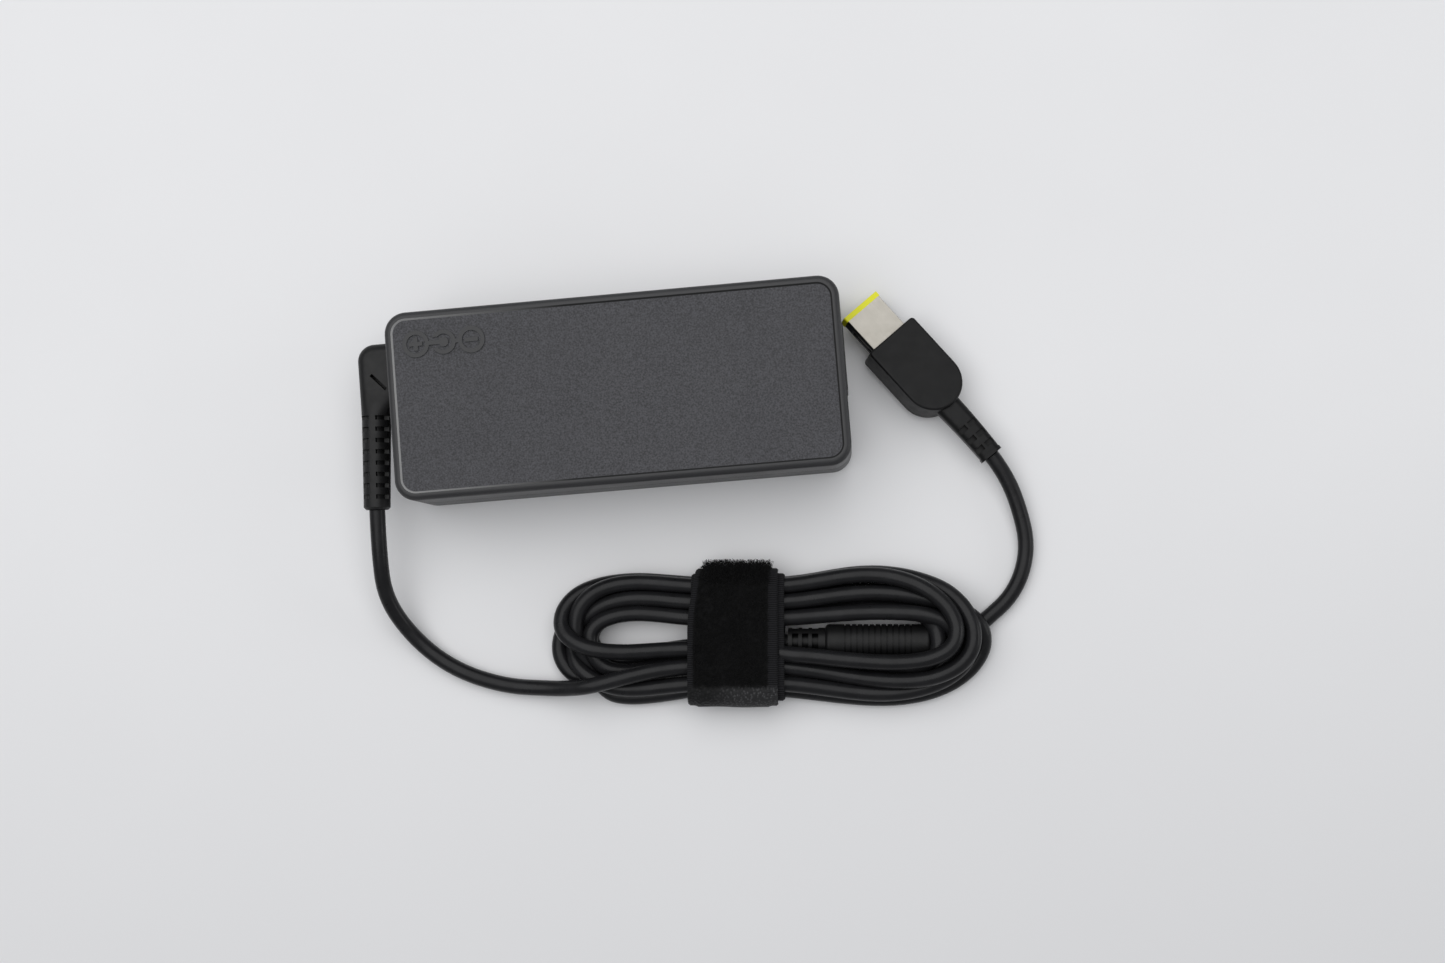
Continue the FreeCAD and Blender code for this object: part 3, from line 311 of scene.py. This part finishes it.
# Where a strand passes through the strap: its place across the hank and its height.
FAR_STRANDS = {"top 1": (12.7, 7.1), "top 2": (8.7, 7.1), "top 3": (4.7, 7.1),
               "low 1": (12.9, 3.2), "low 2": (8.9, 3.2), "low 3": (4.9, 3.2)}
NEAR_STRANDS = {"top 1": (-11.9, 7.1), "top 2": (-7.2, 7.1), "top 3": (-2.6, 7.2),
                "low 1": (-13.0, 3.2), "low 2": (-9.6, 3.2), "low 3": (-6.1, 3.2)}

# Each turn of the hank: the near strand it comes in on, its right loop, the far strand it goes
# back on and its left loop.  A loop is how far it reaches along the hank and where that end lies
# across it, place and height of its first shoulder, of its second one, and its height at the end.
TURNS = [
    ("top 2", (61.6, -2.0, -12.2, 8.6, 16.6, 5.4, 9.4),
     "low 1", (-45.2, 3.4, 14.2, 3.4, -4.2, 10.6, 6.6)),
    ("top 3", (57.5, -0.8, -6.4, 9.8, 16.3, 9.6, 10.4),
     "top 1", (-41.8, 5.4, 14.4, 8.4, -14.6, 2.2, 5.2)),
    ("low 1", (62.9, -1.0, -15.2, 2.6, 11.6, 9.0, 6.0),
     "top 2", (-42.4, 1.0, 10.2, 7.0, -14.0, 5.6, 3.0)),
    ("top 1", (62.0, 0.0, -14.6, 6.6, 11.8, 4.6, 6.2),
     "low 2", (-44.0, -4.5, 10.0, 2.6, -12.6, 2.2, 2.1)),
    ("low 2", (58.8, -1.0, -10.8, 3.4, 6.3, 8.4, 6.0),
     "top 3", (-40.8, 1.0, 7.4, 7.0, -10.4, 3.4, 4.0)),
    ("low 3", (55.0, -1.0, -8.0, 4.2, 8.6, 4.4, 6.0),
     "low 3", (-40.8, 0.6, 8.8, 2.4, -7.8, 2.2, 2.2)),
]
# Along the hank: where the straight pass through the strap ends, and where the end loops begin,
# for a strand on its way out to the loop and for one on its way back.
PASS_END_S = 12
RIGHT_OUT_S, RIGHT_BACK_S = 39, 34
LEFT_OUT_S, LEFT_BACK_S = -26, -30
OUT_DEGREES, BACK_DEGREES = (90, 65, 40, 18), (0, 22, 45, 68, 90)
# The last pass goes through the ferrite sleeve.
TO_FERRITE = [(-26, -5.6, 2.2), (-20, -5.0, 2.4), (-12, -4.1, 3.2), (-4, -3.2, 3.2), (4, -2.3, 3.4),
              (10, -1.5, 4.2)]
FERRITE_T, FERRITE_Z = -1.3, 4.6
IN_FERRITE_S = (13.45, 22.0, 31.0, 40.0, 49.0, 52.6)
AFTER_FERRITE = [(57.2, -1.0, 3.4)]


def hank_to_frame(points):
    c, s = math.cos(HANK_ANGLE), math.sin(HANK_ANGLE)
    p = np.asarray(points, float)
    return np.stack([p[:, 0] * c - p[:, 1] * s + HANK_POS[0],
                     p[:, 0] * s + p[:, 1] * c + HANK_POS[1], p[:, 2]], 1)


def frame_to_hank(points):
    c, s = math.cos(HANK_ANGLE), math.sin(HANK_ANGLE)
    p = np.asarray(points, float)
    x, y = p[:, 0] - HANK_POS[0], p[:, 1] - HANK_POS[1]
    return np.stack([x * c + y * s, -x * s + y * c, p[:, 2]], 1)


def ease(x):
    return x * x * (3 - 2 * x)


def quarter_loop(middle, reach, end_t, t, z, end_z, degrees):
    """A quarter of an end loop, from or to the shoulder at (middle, t) with its height."""
    points = []
    for angle in np.radians(degrees):
        share = ease(1 - angle / (math.pi / 2))
        across = end_t + math.sin(angle) * (t - end_t)
        points.append((middle + (reach - middle) * math.cos(angle), across, z + (end_z - z) * share))
    return points


def wound_turns():
    """The line of every turn before it settles: straight through the strap, round each end."""
    points = []
    passing = (-PASS_END_S, -PASS_END_S / 3, PASS_END_S / 3, PASS_END_S)
    for near, right, far, left in TURNS:
        near_t, near_z = NEAR_STRANDS[near]
        far_t, far_z = FAR_STRANDS[far]
        points += [(s, near_t, near_z) for s in passing]
        reach, end_t, out_t, out_z, back_t, back_z, end_z = right
        for u in (0.33, 0.67):
            points.append((PASS_END_S + (RIGHT_OUT_S - PASS_END_S) * u,
                           near_t + (out_t - near_t) * ease(u), near_z + (out_z - near_z) * ease(u)))
        points += quarter_loop(RIGHT_OUT_S, reach, end_t, out_t, out_z, end_z, OUT_DEGREES)
        points += quarter_loop(RIGHT_BACK_S, reach, end_t, back_t, back_z, end_z, BACK_DEGREES)
        for u in (0.35, 0.7):
            points.append((RIGHT_BACK_S - (RIGHT_BACK_S - PASS_END_S) * u,
                           back_t + (far_t - back_t) * ease(u), back_z + (far_z - back_z) * ease(u)))
        points += [(s, far_t, far_z) for s in reversed(passing)]
        reach, end_t, out_t, out_z, back_t, back_z, end_z = left
        points.append(((LEFT_OUT_S - PASS_END_S) / 2, (far_t + out_t) / 2, (far_z + out_z) / 2))
        points += quarter_loop(LEFT_OUT_S, reach, end_t, out_t, out_z, end_z, OUT_DEGREES)
        points += quarter_loop(LEFT_BACK_S, reach, end_t, back_t, back_z, end_z, BACK_DEGREES)
    return points + TO_FERRITE


def evenly(points, step):
    along = np.r_[0, np.cumsum(np.linalg.norm(np.diff(points, axis=0), axis=1))]
    at = np.linspace(0, along[-1], int(round(along[-1] / step)) + 1)
    return np.stack([np.interp(at, along, points[:, k]) for k in range(3)], 1)


def softened(points):
    p = points.copy()
    for _ in range(SOFTENING_ROUNDS):
        p[1:-1] += 0.5 * ((p[:-2] + p[2:]) / 2 - p[1:-1])
    return p


# The cord settles as a chain of points this far apart, inside the room that the strap leaves and
# round the ferrite sleeve, which is given as stretches (from, to, radius) along the hank.
STEP = 3.0
STRAP_MIDDLE_S, STRAP_HALF_S = 0.8, 12.0
STRAP_ROOM_T, STRAP_ROOM_Z = (-13.0, 13.2), (3.15, 8.0)
FERRITE_ROOM = [(22.0, 50.0, 4.5), (13.0, 24.0, 3.6), (13.0, 53.0, 2.9)]
SETTLING_ROUNDS, SOFTENING_ROUNDS = 240, 6
NEIGHBOURS = 5
STRAND_GAP, CLEARANCE = CORD_D + 0.02, 0.05
PUSH, STIFFNESS, HOMING, SINKING, FERRITE_PUSH = 0.3, 0.35, 0.02, 0.02, 0.6
TINY = 1e-3


def settle(line, held):
    """Push strands apart to a diameter, let them lie down, and keep them stiff and in the strap."""
    home = softened(line)
    p = line.copy()
    index = np.arange(len(p))
    apart = np.abs(index[:, None] - index[None, :]) > NEIGHBOURS
    bend_at_home = (home[:-2] + home[2:]) / 2 - home[1:-1]
    for _ in range(SETTLING_ROUNDS):
        offset = p[:, None] - p[None, :]
        distance = np.linalg.norm(offset, axis=2)
        near = apart & (distance < STRAND_GAP)
        push = np.where(near, (STRAND_GAP - distance) * PUSH / np.maximum(distance, TINY), 0)
        move = (offset * push[:, :, None]).sum(1)
        move /= np.sqrt(np.maximum(near.sum(1), 1)[:, None])
        move[1:-1] += STIFFNESS * ((p[:-2] + p[2:]) / 2 - p[1:-1] - bend_at_home)
        move[:, :2] += HOMING * (home - p)[:, :2]
        move[:, 2] -= SINKING
        across = p[:, 1:] - np.array([FERRITE_T, FERRITE_Z])
        away = np.maximum(np.linalg.norm(across, axis=1), TINY)
        room = np.zeros(len(p))
        for low, high, radius in FERRITE_ROOM:
            inside = (p[:, 0] > low) & (p[:, 0] < high)
            room = np.where(inside, np.maximum(room, radius + CORD_D / 2 + CLEARANCE), room)
        pressed = (away < room) & ~held
        p = p + np.where(held[:, None], 0, move)
        p[pressed, 1:] += (across / away[:, None] * (room - away)[:, None])[pressed] * FERRITE_PUSH
        p[:, 2] = np.maximum(p[:, 2], CORD_D / 2 + CLEARANCE)
        strapped = (np.abs(p[:, 0] - STRAP_MIDDLE_S) < STRAP_HALF_S) & ~held
        p[strapped, 1] = np.clip(p[strapped, 1], *STRAP_ROOM_T)
        p[strapped, 2] = np.clip(p[strapped, 2], *STRAP_ROOM_Z)
        p[held] = home[held]
    return p


def length_of(points):
    return np.linalg.norm(np.diff(points, axis=0), axis=1).sum()


def cord_route():
    """The cord's control points in the frame: lead-in, wound turns, ferrite pass, lead-out."""
    lead_in = frame_to_hank(LEAD_IN)
    through = np.array([(s, FERRITE_T, FERRITE_Z) for s in IN_FERRITE_S])
    end = np.vstack([through, AFTER_FERRITE, frame_to_hank(LEAD_OUT)])
    line = evenly(np.vstack([lead_in, CLIMB, wound_turns(), end]), STEP)
    first = int(length_of(lead_in) / STEP) - 1
    last = len(line) - int(length_of(end) / STEP) - 1
    held = np.ones(len(line), bool)
    held[first:last] = False
    settled = settle(line, held)
    wound = hank_to_frame(settled[first + 2:last:2])
    return np.vstack([LEAD_IN[:-1], wound, hank_to_frame(end)])


def nurbs_curve(name, points, radius, material):
    data = bpy.data.curves.new(name, "CURVE")
    data.dimensions = "3D"
    data.resolution_u = 6
    data.bevel_depth = radius
    data.bevel_resolution = 6
    data.use_fill_caps = True
    spline = data.splines.new("NURBS")
    spline.points.add(len(points) - 1)
    for point, place in zip(spline.points, points):
        point.co = (*[c * MM for c in place], 1.0)
    spline.order_u = 3
    spline.use_endpoint_u = True
    curve = bpy.data.objects.new(name, data)
    data.materials.append(material)
    bpy.context.scene.collection.objects.link(curve)
    return curve


def make_cord():
    curve = nurbs_curve("output_cord", cord_route(), CORD_D / 2 * MM, cord_finish().material)
    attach(curve, "adapter")
    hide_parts("cord_lead_in", "cord_hank", "cord_through_ferrite", "cord_lead_out")
    return curve


# ---------------------------------------------------------------- the strap
# Drawn in the hank's axes: s along the hank, t across it, z up.  The band goes once round the
# cord; the tab is the strip's outer end, which comes up the far side, laps over the top and ends
# on the near side in a welded patch.
BAND_S, TAB_S = (-10.8, 12.6), (-11.6, 11.0)
BAND_INSIDE = (-15.2, 15.2, 1.1, 9.5)
TAB_NEAR_Z, TAB_FAR_Z = 3.6, 4.2
STRIP_T, SELVEDGE_T, SELVEDGE_W = 1.1, 0.75, 2.1
# The pile's field lies this far off the tab's middle, and rises from the selvedges over a width.
SELVEDGE_SHIFT, PILE_RISE_W = 0.5, 1.0
# At its very edge the strip thins: its faces come this close together, as shares of its height.
EDGE_W, EDGE_UPPER, EDGE_LOWER = 0.01, 0.55, 0.2
LAP_GAP = 0.15
INSIDE_R = 2.9
PATCH_L, PATCH_FADE = 9.6, 1.6
FREE_END_CUT, FREE_END_CUT_L = 1.5, 2.8
FAR_END_NARROWING, NARROWING_L = 2.1, 19.0
END_T_SHARE, END_TAPER_L = 0.45, 0.9
UNEVENNESS = 0.12
STRIP_LOWEST_Z, YARN_LOWEST_Z = 0.02, 0.03
RIB_PITCH = 0.46
# Flat coordinates for the band start here, so that the tab's patch doesn't show on it.
BEYOND_PATCH = 100.0
STRIP_STEP = 0.5

# The pile: arches of yarn rooted in the strip, and the longer tufts that fray on the far side.
YARN_ROOT, YARN_LEAN, ARCH_HALF_W = 0.86, 0.45, (0.35, 0.8)
ARCH_BENDS, YARN_SIDES = 7, 3
PILE_COUNT, PILE_HEIGHTS, PILE_OVER_PATCH = 3800, (0.25, 0.75), 0.8
TUFT_COUNT, TUFT_HEIGHTS, TUFT_S = 1300, (0.8, 2.3), (-9.6, 9.2)
TUFT_EDGE, TUFT_YARN_R, TUFTS_BEFORE_CORNER = 0.4, 0.038, 2.0


def arc_points(centre, radius, start, end):
    count = max(3, int(abs(end - start) / 90 * radius * 1.6 / STRIP_STEP))
    points = []
    for angle in np.radians(np.linspace(start, end, count + 1)):
        normal = (math.cos(angle), math.sin(angle))
        points.append((centre[0] + radius * normal[0], centre[1] + radius * normal[1], *normal))
    return points


def straight(a, b, normal):
    count = max(1, int(math.dist(a, b) / STRIP_STEP))
    return [(a[0] + (b[0] - a[0]) * i / count, a[1] + (b[1] - a[1]) * i / count, *normal)
            for i in range(1, count)]


def lap(grow, near_end, far_end):
    """Over the top of the hank from the near side to the far side, as (t, z, normal t, normal z)."""
    t0, t1, z1 = BAND_INSIDE[0] - grow, BAND_INSIDE[1] + grow, BAND_INSIDE[3] + grow
    r = INSIDE_R + grow
    points = straight((t0, near_end), (t0, z1 - r), (-1, 0))
    points += arc_points((t0 + r, z1 - r), r, 180, 90)
    points += straight((t0 + r, z1), (t1 - r, z1), (0, 1))
    points += arc_points((t1 - r, z1 - r), r, 90, 0)
    return points + straight((t1, z1 - r), (t1, far_end), (1, 0))


def full_loop():
    t0, t1, z0, z1 = BAND_INSIDE
    r = INSIDE_R
    points = lap(0.0, z0 + r, z0 + r)
    points += arc_points((t1 - r, z0 + r), r, 0, -90)
    points += straight((t1 - r, z0), (t0 + r, z0), (0, -1))
    return points + arc_points((t0 + r, z0 + r), r, 270, 180)


def strip_profile(s0, s1):
    """The strip's section as (s, height): the outer face across, then the inner face back."""
    across = np.linspace(s0, s1, int((s1 - s0) / STRIP_STEP) + 1)
    inside = np.minimum(across - s0, s1 - across)
    raised = np.clip((inside - SELVEDGE_W + PILE_RISE_W / 2) / PILE_RISE_W, 0, 1)
    outer = SELVEDGE_T + (STRIP_T - SELVEDGE_T) * ease(raised)
    outer = outer * np.where(inside < EDGE_W, EDGE_UPPER, 1.0)
    lower = np.where(inside < EDGE_W, SELVEDGE_T * EDGE_LOWER, 0.0)
    return [*zip(across, outer), *zip(across[::-1], lower[::-1])]


def wobble(s, along):
    """A slow unevenness, the same each run."""
    return UNEVENNESS * (np.sin(s * 0.55 + along * 0.21) * 0.5
                         + np.sin(s * 0.23 - along * 0.37 + 1.3) * 0.5)


def narrowed(s, from_far_end):
    """Where a place across the tab lies once the tab's far end narrows on one side."""
    share = ease(np.clip(1 - from_far_end / NARROWING_L, 0, 1))
    return s + FAR_END_NARROWING * share * (TAB_S[1] - s) / (TAB_S[1] - TAB_S[0])


def strip_faces(places, section, rows, closed):
    """The faces round the section and along the strip, and the flat place of each corner."""
    columns = len(section)
    faces, flats = [], []
    for i in range(rows if closed else rows - 1):
        j = (i + 1) % rows
        for k in range(columns):
            m = (k + 1) % columns
            faces.append((i * columns + k, i * columns + m, j * columns + m, j * columns + k))
            flats += [(places[i], section[k, 0]), (places[i], section[m, 0]),
                      (places[i + 1], section[m, 0]), (places[i + 1], section[k, 0])]
    if closed:
        return faces, flats
    for i, order in ((0, range(columns - 1, -1, -1)), (rows - 1, range(columns))):
        faces.append(tuple(i * columns + k for k in order))
        flats += [(places[i], section[k, 0]) for k in order]
    return faces, flats


def strip(name, path, s_range, closed, flat_start):
    """A woven strip swept along a path, with its own flat coordinates for the finish."""
    path = np.array(path)
    section = np.array(strip_profile(*s_range))
    steps = np.linalg.norm(np.diff(path[:, :2], axis=0), axis=1)
    along = np.r_[0, np.cumsum(steps)]
    middle = sum(s_range) / 2
    rows = len(path)
    height = section[None, :, 1] + wobble(section[None, :, 0], along[:, None])
    if not closed:
        from_end = np.minimum(along, along[-1] - along)
        taper = np.clip(END_T_SHARE + from_end / END_TAPER_L, END_T_SHARE, 1.0)
        half = SELVEDGE_T / 2
        height = half + (height - half) * taper[:, None]
    t = path[:, 0:1] + path[:, 2:3] * height
    z = np.maximum(path[:, 1:2] + path[:, 3:4] * height, STRIP_LOWEST_Z)
    s = np.repeat(section[None, :, 0], rows, 0)
    if not closed:
        width = s_range[1] - s_range[0]
        corner = np.clip(1.0 - along / FREE_END_CUT_L, 0, 1) * FREE_END_CUT
        s = middle + (s - middle) * (1 - corner[:, None] / width * 2)
        s = narrowed(s, along[-1] - along[:, None])
    points = hank_to_frame(np.stack([s.ravel(), t.ravel(), z.ravel()], 1)) * MM
    total = along[-1] + (math.dist(path[0, :2], path[-1, :2]) if closed else 0)
    faces, flats = strip_faces(np.r_[along, total], section, rows, closed)
    mesh = bpy.data.meshes.new(name)
    mesh.from_pydata([tuple(p) for p in points], [], faces)
    layer = mesh.uv_layers.new(name="flat")
    for corner_uv, (u, v) in zip(layer.data, flats):
        corner_uv.uv = ((u + flat_start) * MM, (v - middle) * MM)
    mesh.polygons.foreach_set("use_smooth", [True] * len(faces))
    mesh.update()
    outward = bmesh.new()
    outward.from_mesh(mesh)
    bmesh.ops.recalc_face_normals(outward, faces=outward.faces)
    outward.to_mesh(mesh)
    outward.free()
    piece = bpy.data.objects.new(name, mesh)
    bpy.context.scene.collection.objects.link(piece)
    return piece, along


def pile(name, path, s_range, count, heights, skip_until=0.0, edge=SELVEDGE_W, seed=SEED,
         yarn_r=0.05):
    """Tangled loops standing on a strip's outer face: small arches of fine yarn."""
    rng = np.random.default_rng(seed)
    path = np.array(path)
    along = np.r_[0, np.cumsum(np.linalg.norm(np.diff(path[:, :2], axis=0), axis=1))]
    u = rng.uniform(skip_until, along[-1], count)
    s = narrowed(rng.uniform(s_range[0] + edge, s_range[1] - edge, count), along[-1] - u)
    at = np.stack([np.interp(u, along, path[:, k]) for k in range(4)], 1)
    normal = at[:, 2:4] / np.linalg.norm(at[:, 2:4], axis=1)[:, None]
    base = np.stack([s, at[:, 0] + normal[:, 0] * STRIP_T * YARN_ROOT,
                     at[:, 1] + normal[:, 1] * STRIP_T * YARN_ROOT], 1)
    up = np.stack([np.zeros(count), normal[:, 0], normal[:, 1]], 1)
    forward = np.stack([np.zeros(count), -normal[:, 1], normal[:, 0]], 1)
    side = np.tile([1.0, 0.0, 0.0], (count, 1))
    turn = rng.uniform(0, 2 * np.pi, count)[:, None]
    line = forward * np.cos(turn) + side * np.sin(turn)
    lean = np.cross(line, up) * rng.normal(0, YARN_LEAN, count)[:, None]
    rise = (up + lean) * rng.uniform(*heights, count)[:, None]
    width = rng.uniform(*ARCH_HALF_W, count)[:, None]
    bends, sides = ARCH_BENDS, YARN_SIDES
    angles = np.linspace(0, np.pi, bends)
    arch = (base[:, None] + line[:, None] * (width[:, None] * np.cos(angles)[None, :, None])
            + rise[:, None] * np.sin(angles)[None, :, None])
    tangent = np.gradient(arch, axis=1)
    tangent /= np.linalg.norm(tangent, axis=2)[:, :, None]
    across = np.cross(line, up)
    across /= np.linalg.norm(across, axis=1)[:, None]
    across = np.repeat(across[:, None], bends, 1)
    other = np.cross(tangent, across)
    ring = np.linspace(0, 2 * np.pi, sides, endpoint=False)
    tube = (arch[:, :, None] + yarn_r * (across[:, :, None] * np.cos(ring)[None, None, :, None]
                                         + other[:, :, None] * np.sin(ring)[None, None, :, None]))
    tube[..., 2] = np.maximum(tube[..., 2], YARN_LOWEST_Z)
    points = hank_to_frame(tube.reshape(-1, 3)) * MM
    i, j, k = np.meshgrid(np.arange(count), np.arange(bends - 1), np.arange(sides), indexing="ij")
    first = i * bends * sides + j * sides
    faces = np.stack([first + k, first + (k + 1) % sides, first + sides + (k + 1) % sides,
                      first + sides + k], -1).reshape(-1, 4)
    mesh = bpy.data.meshes.new(name)
    mesh.from_pydata([tuple(p) for p in points], [], [tuple(int(v) for v in q) for q in faces])
    mesh.polygons.foreach_set("use_smooth", [True] * len(faces))
    piece = bpy.data.objects.new(name, mesh)
    bpy.context.scene.collection.objects.link(piece)
    return piece


def strap_finish():
    """Black loop fabric: a dense dark pile between ribbed selvedges, with a welded, worn end."""
    f = Finish("strap_fabric", Sheen_Weight=0.02, Sheen_Roughness=0.4, Specular_IOR_Level=0.12)
    along, across = f.axis(0, f.flat), f.axis(1, f.flat)
    from_middle = f.math("ABSOLUTE", f.math("ADD", across, SELVEDGE_SHIFT * MM))
    pile_edge = (TAB_S[1] - TAB_S[0]) / 2 - SELVEDGE_W
    selvedge = f.spread(from_middle, pile_edge * MM, (pile_edge + 0.3) * MM, 0.0, 1.0)
    patch = f.spread(along, (PATCH_L - PATCH_FADE) * MM, PATCH_L * MM, 1.0, 0.0)
    rib = f.math("SINE", f.math("MULTIPLY", along, 2 * math.pi / (RIB_PITCH * MM)))
    rib = f.spread(rib, -1.0, 1.0, 0.0, 1.0)
    dots = f.cells(0.62, f.stretched((1.0, 1.0, 0.0), source=f.flat))
    weave = f.noise(0.35, 3.0, 0.65)
    tuft = f.noise(0.9, 2.0, 0.6)
    pile_colour = f.blend_colours(f.spread(tuft, 0.3, 0.7, 0.0, 1.0), grey(0.0030),
                                  grey(0.0065, 0.05))
    rib_colour = f.blend_colours(rib, grey(0.002), grey(0.021, 0.12))
    patch_colour = f.blend_colours(f.spread(dots, 0.15, 0.5, 0.0, 1.0), grey(0.062, 0.04),
                                   grey(0.022, 0.04))
    ragged = f.math("ADD", across, f.math("MULTIPLY", weave, 3 * MM))
    worn = f.spread(ragged, -4.0 * MM, 2.5 * MM, 0.25, 1.0)
    patch_colour = f.blend_colours(worn, grey(0.004), patch_colour)
    woven_colour = f.blend_colours(selvedge, pile_colour, rib_colour)
    f.colour(f.blend_colours(patch, woven_colour, patch_colour))
    f.rough(f.spread(patch, 0.0, 1.0, 0.92, 0.5))
    f.relief((weave, 0.14), (f.math("MULTIPLY", rib, selvedge), 0.08),
             (f.math("MULTIPLY", dots, patch), 0.25))
    return f


def yarn_finish():
    """The fine matt yarn of the pile, darker in some loops than in others."""
    f = Finish("pile_yarn", Roughness=0.9, Sheen_Weight=0.03, Sheen_Roughness=0.4,
               Specular_IOR_Level=0.1)
    f.colour(f.blend_colours(f.noise(1.1, 2.0), grey(0.0032), grey(0.0085, 0.06)))
    f.relief((f.noise(0.1), 0.004))
    return f


def make_strap():
    """The band, the tab that peels off it, and the pile on the tab."""
    fabric, yarn = strap_finish().material, yarn_finish().material
    band_path = full_loop()
    band, _ = strip("strap_band_fabric", band_path, BAND_S, True, BEYOND_PATCH)
    tab_path = lap(STRIP_T + LAP_GAP, TAB_NEAR_Z, TAB_FAR_Z)
    tab, tab_along = strip("strap_tab_fabric", tab_path, TAB_S, False, 0.0)
    pile_s = (TAB_S[0] - SELVEDGE_SHIFT, TAB_S[1] - SELVEDGE_SHIFT)
    tab_pile = pile("strap_tab_pile", tab_path, pile_s, PILE_COUNT, PILE_HEIGHTS,
                    PATCH_L - PILE_OVER_PATCH)
    far_side = [p for p in tab_path if p[0] > BAND_INSIDE[1] - TUFTS_BEFORE_CORNER]
    tuft = pile("strap_tab_tufts", far_side, TUFT_S, TUFT_COUNT, TUFT_HEIGHTS, edge=TUFT_EDGE,
                seed=SEED + 1, yarn_r=TUFT_YARN_R)
    for piece in (band, tab):
        piece.data.materials.append(fabric)
    for piece in (tab_pile, tuft):
        piece.data.materials.append(yarn)
    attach(band, "adapter")
    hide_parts("strap_band")
    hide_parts("strap_tab")
    for piece in (tab, tab_pile, tuft):
        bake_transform(piece)
    return [band, tab, tab_pile, tuft]


# ---------------------------------------------------------------- stage
def add_floor():
    bpy.ops.mesh.primitive_plane_add(size=3.0, location=(0.0, 0.0, 0.0))
    floor = bpy.context.object
    floor.name = "floor"
    f = Finish("floor", Roughness=0.55, IOR=1.45)
    mottle = f.noise(60.0, 3.0, 0.5)
    # Painted shade: the floor's colour darkens towards the viewer (-y), standing in for the overhead
    # lamp's light falling off.
    painted_falloff_shade = f.spread(f.axis(1), -0.19, 0.0, 1.0, 0.0)
    tone = f.blend_colours(mottle, (0.765, 0.765, 0.775), (0.80, 0.80, 0.81))
    f.colour(f.blend_colours(painted_falloff_shade, tone, (0.68, 0.68, 0.69)))
    floor.data.materials.append(f.material)


# ---------------------------------------------------------------- painting
def paint_outside():
    """The pieces that show while the casing is closed."""
    paint(casing_finish(), "top_cover", "bottom_cover")
    paint(elastomer_finish("moulded_elastomer", 0.006, 0.30, (0.40, 0.52)), "outlet_elbow")
    paint(elastomer_finish("soft_elastomer", 0.004, 0.23, (0.38, 0.48)),
          "ferrite_overmould", "plug_relief", "plug_grip")
    paint(plug_metal_finish(), "plug_plates", "plug_side_contacts", "plug_centre_pin")
    paint(plain_finish("yellow_plastic", (0.76, 0.74, 0.008), (0.83, 0.81, 0.016), 0.5),
          "plug_frame")
    paint(plain_finish("black_insert", grey(0.006), grey(0.010, 0.05), 0.4),
          "plug_core", "inlet_housing")
    paint(plain_finish("pin_metal", (0.62, 0.60, 0.56), (0.70, 0.68, 0.64), 0.28, 1.5, 0.003,
                       Metallic=1.0), "inlet_pins")
    paint(plain_finish("label_film", grey(0.045), grey(0.055), 0.45, 8.0), "rating_label")


def paint_inside():
    """What stays hidden: the board with its screens and components, and the cord's ferrite."""
    paint(plain_finish("board_laminate", (0.02, 0.09, 0.035), (0.03, 0.12, 0.045), 0.45),
          "circuit_board")
    for node in ("board_insulator", "insulating_film"):
        paint(plain_finish("film_" + node, (0.55, 0.42, 0.22), (0.62, 0.50, 0.28), 0.3, 9.0), node)
    paint(plain_finish("sheet_aluminium", (0.66, 0.67, 0.68), (0.74, 0.75, 0.76), 0.38, 6.0, 0.006,
                       Metallic=1.0), "heat_spreader", "primary_heat_sink", "secondary_heat_sink")
    paint(plain_finish("component_plastic", grey(0.012), grey(0.018), 0.5, 2.0),
          "fuse", "bridge_rectifier", "switching_transistor", "output_rectifier",
          "primary_controller", "optocoupler", "secondary_controller")
    paint(plain_finish("film_capacitor", (0.75, 0.62, 0.10), (0.8, 0.68, 0.16), 0.4),
          "suppression_capacitor")
    paint(plain_finish("thermistor_ceramic", (0.05, 0.08, 0.06), (0.07, 0.1, 0.08), 0.6),
          "inrush_thermistor")
    paint(plain_finish("ceramic_disc", (0.05, 0.16, 0.42), (0.07, 0.2, 0.5), 0.4),
          "bridging_capacitors")
    paint(plain_finish("ferrite", grey(0.035), grey(0.055), 0.7, 1.2, 0.02),
          "choke_core", "transformer_core", "ferrite_core", "output_choke")
    paint(plain_finish("copper_wire", (0.65, 0.28, 0.10), (0.80, 0.38, 0.16), 0.3, 0.8, 0.03,
                       Metallic=1.0), "choke_windings", "transformer_winding")
    paint(plain_finish("bobbin_plastic", grey(0.02), grey(0.03), 0.5), "transformer_bobbin")
    paint(plain_finish("can_sleeve", (0.02, 0.03, 0.05), (0.03, 0.045, 0.07), 0.35, 4.0),
          "bulk_capacitor", "supply_capacitor", "output_capacitors")
    paint(plain_finish("screw_steel", (0.58, 0.58, 0.57), (0.68, 0.68, 0.67), 0.3, 1.0, 0.004,
                       Metallic=1.0), "sink_screws")
    paint(plain_finish("wire_sleeve", grey(0.015), (0.02, 0.02, 0.02), 0.4, 1.0), "output_wires")


add_camera()
bpy.context.scene.view_settings.view_transform = "Standard"
add_world((0.95, 0.97, 1.0), 0.31)
add_area_light("overhead", (-0.16, 0.28, 1.12), (-0.02, 0.02, 0.0), (1.9, 1.5), 15.3)
add_area_light("window", (0.95, -0.1, 0.28), (0.0, 0.0, 0.02), (0.5, 0.35), 1.1)
add_floor()
paint_outside()
paint_inside()

cord = make_cord()
strap = make_strap()
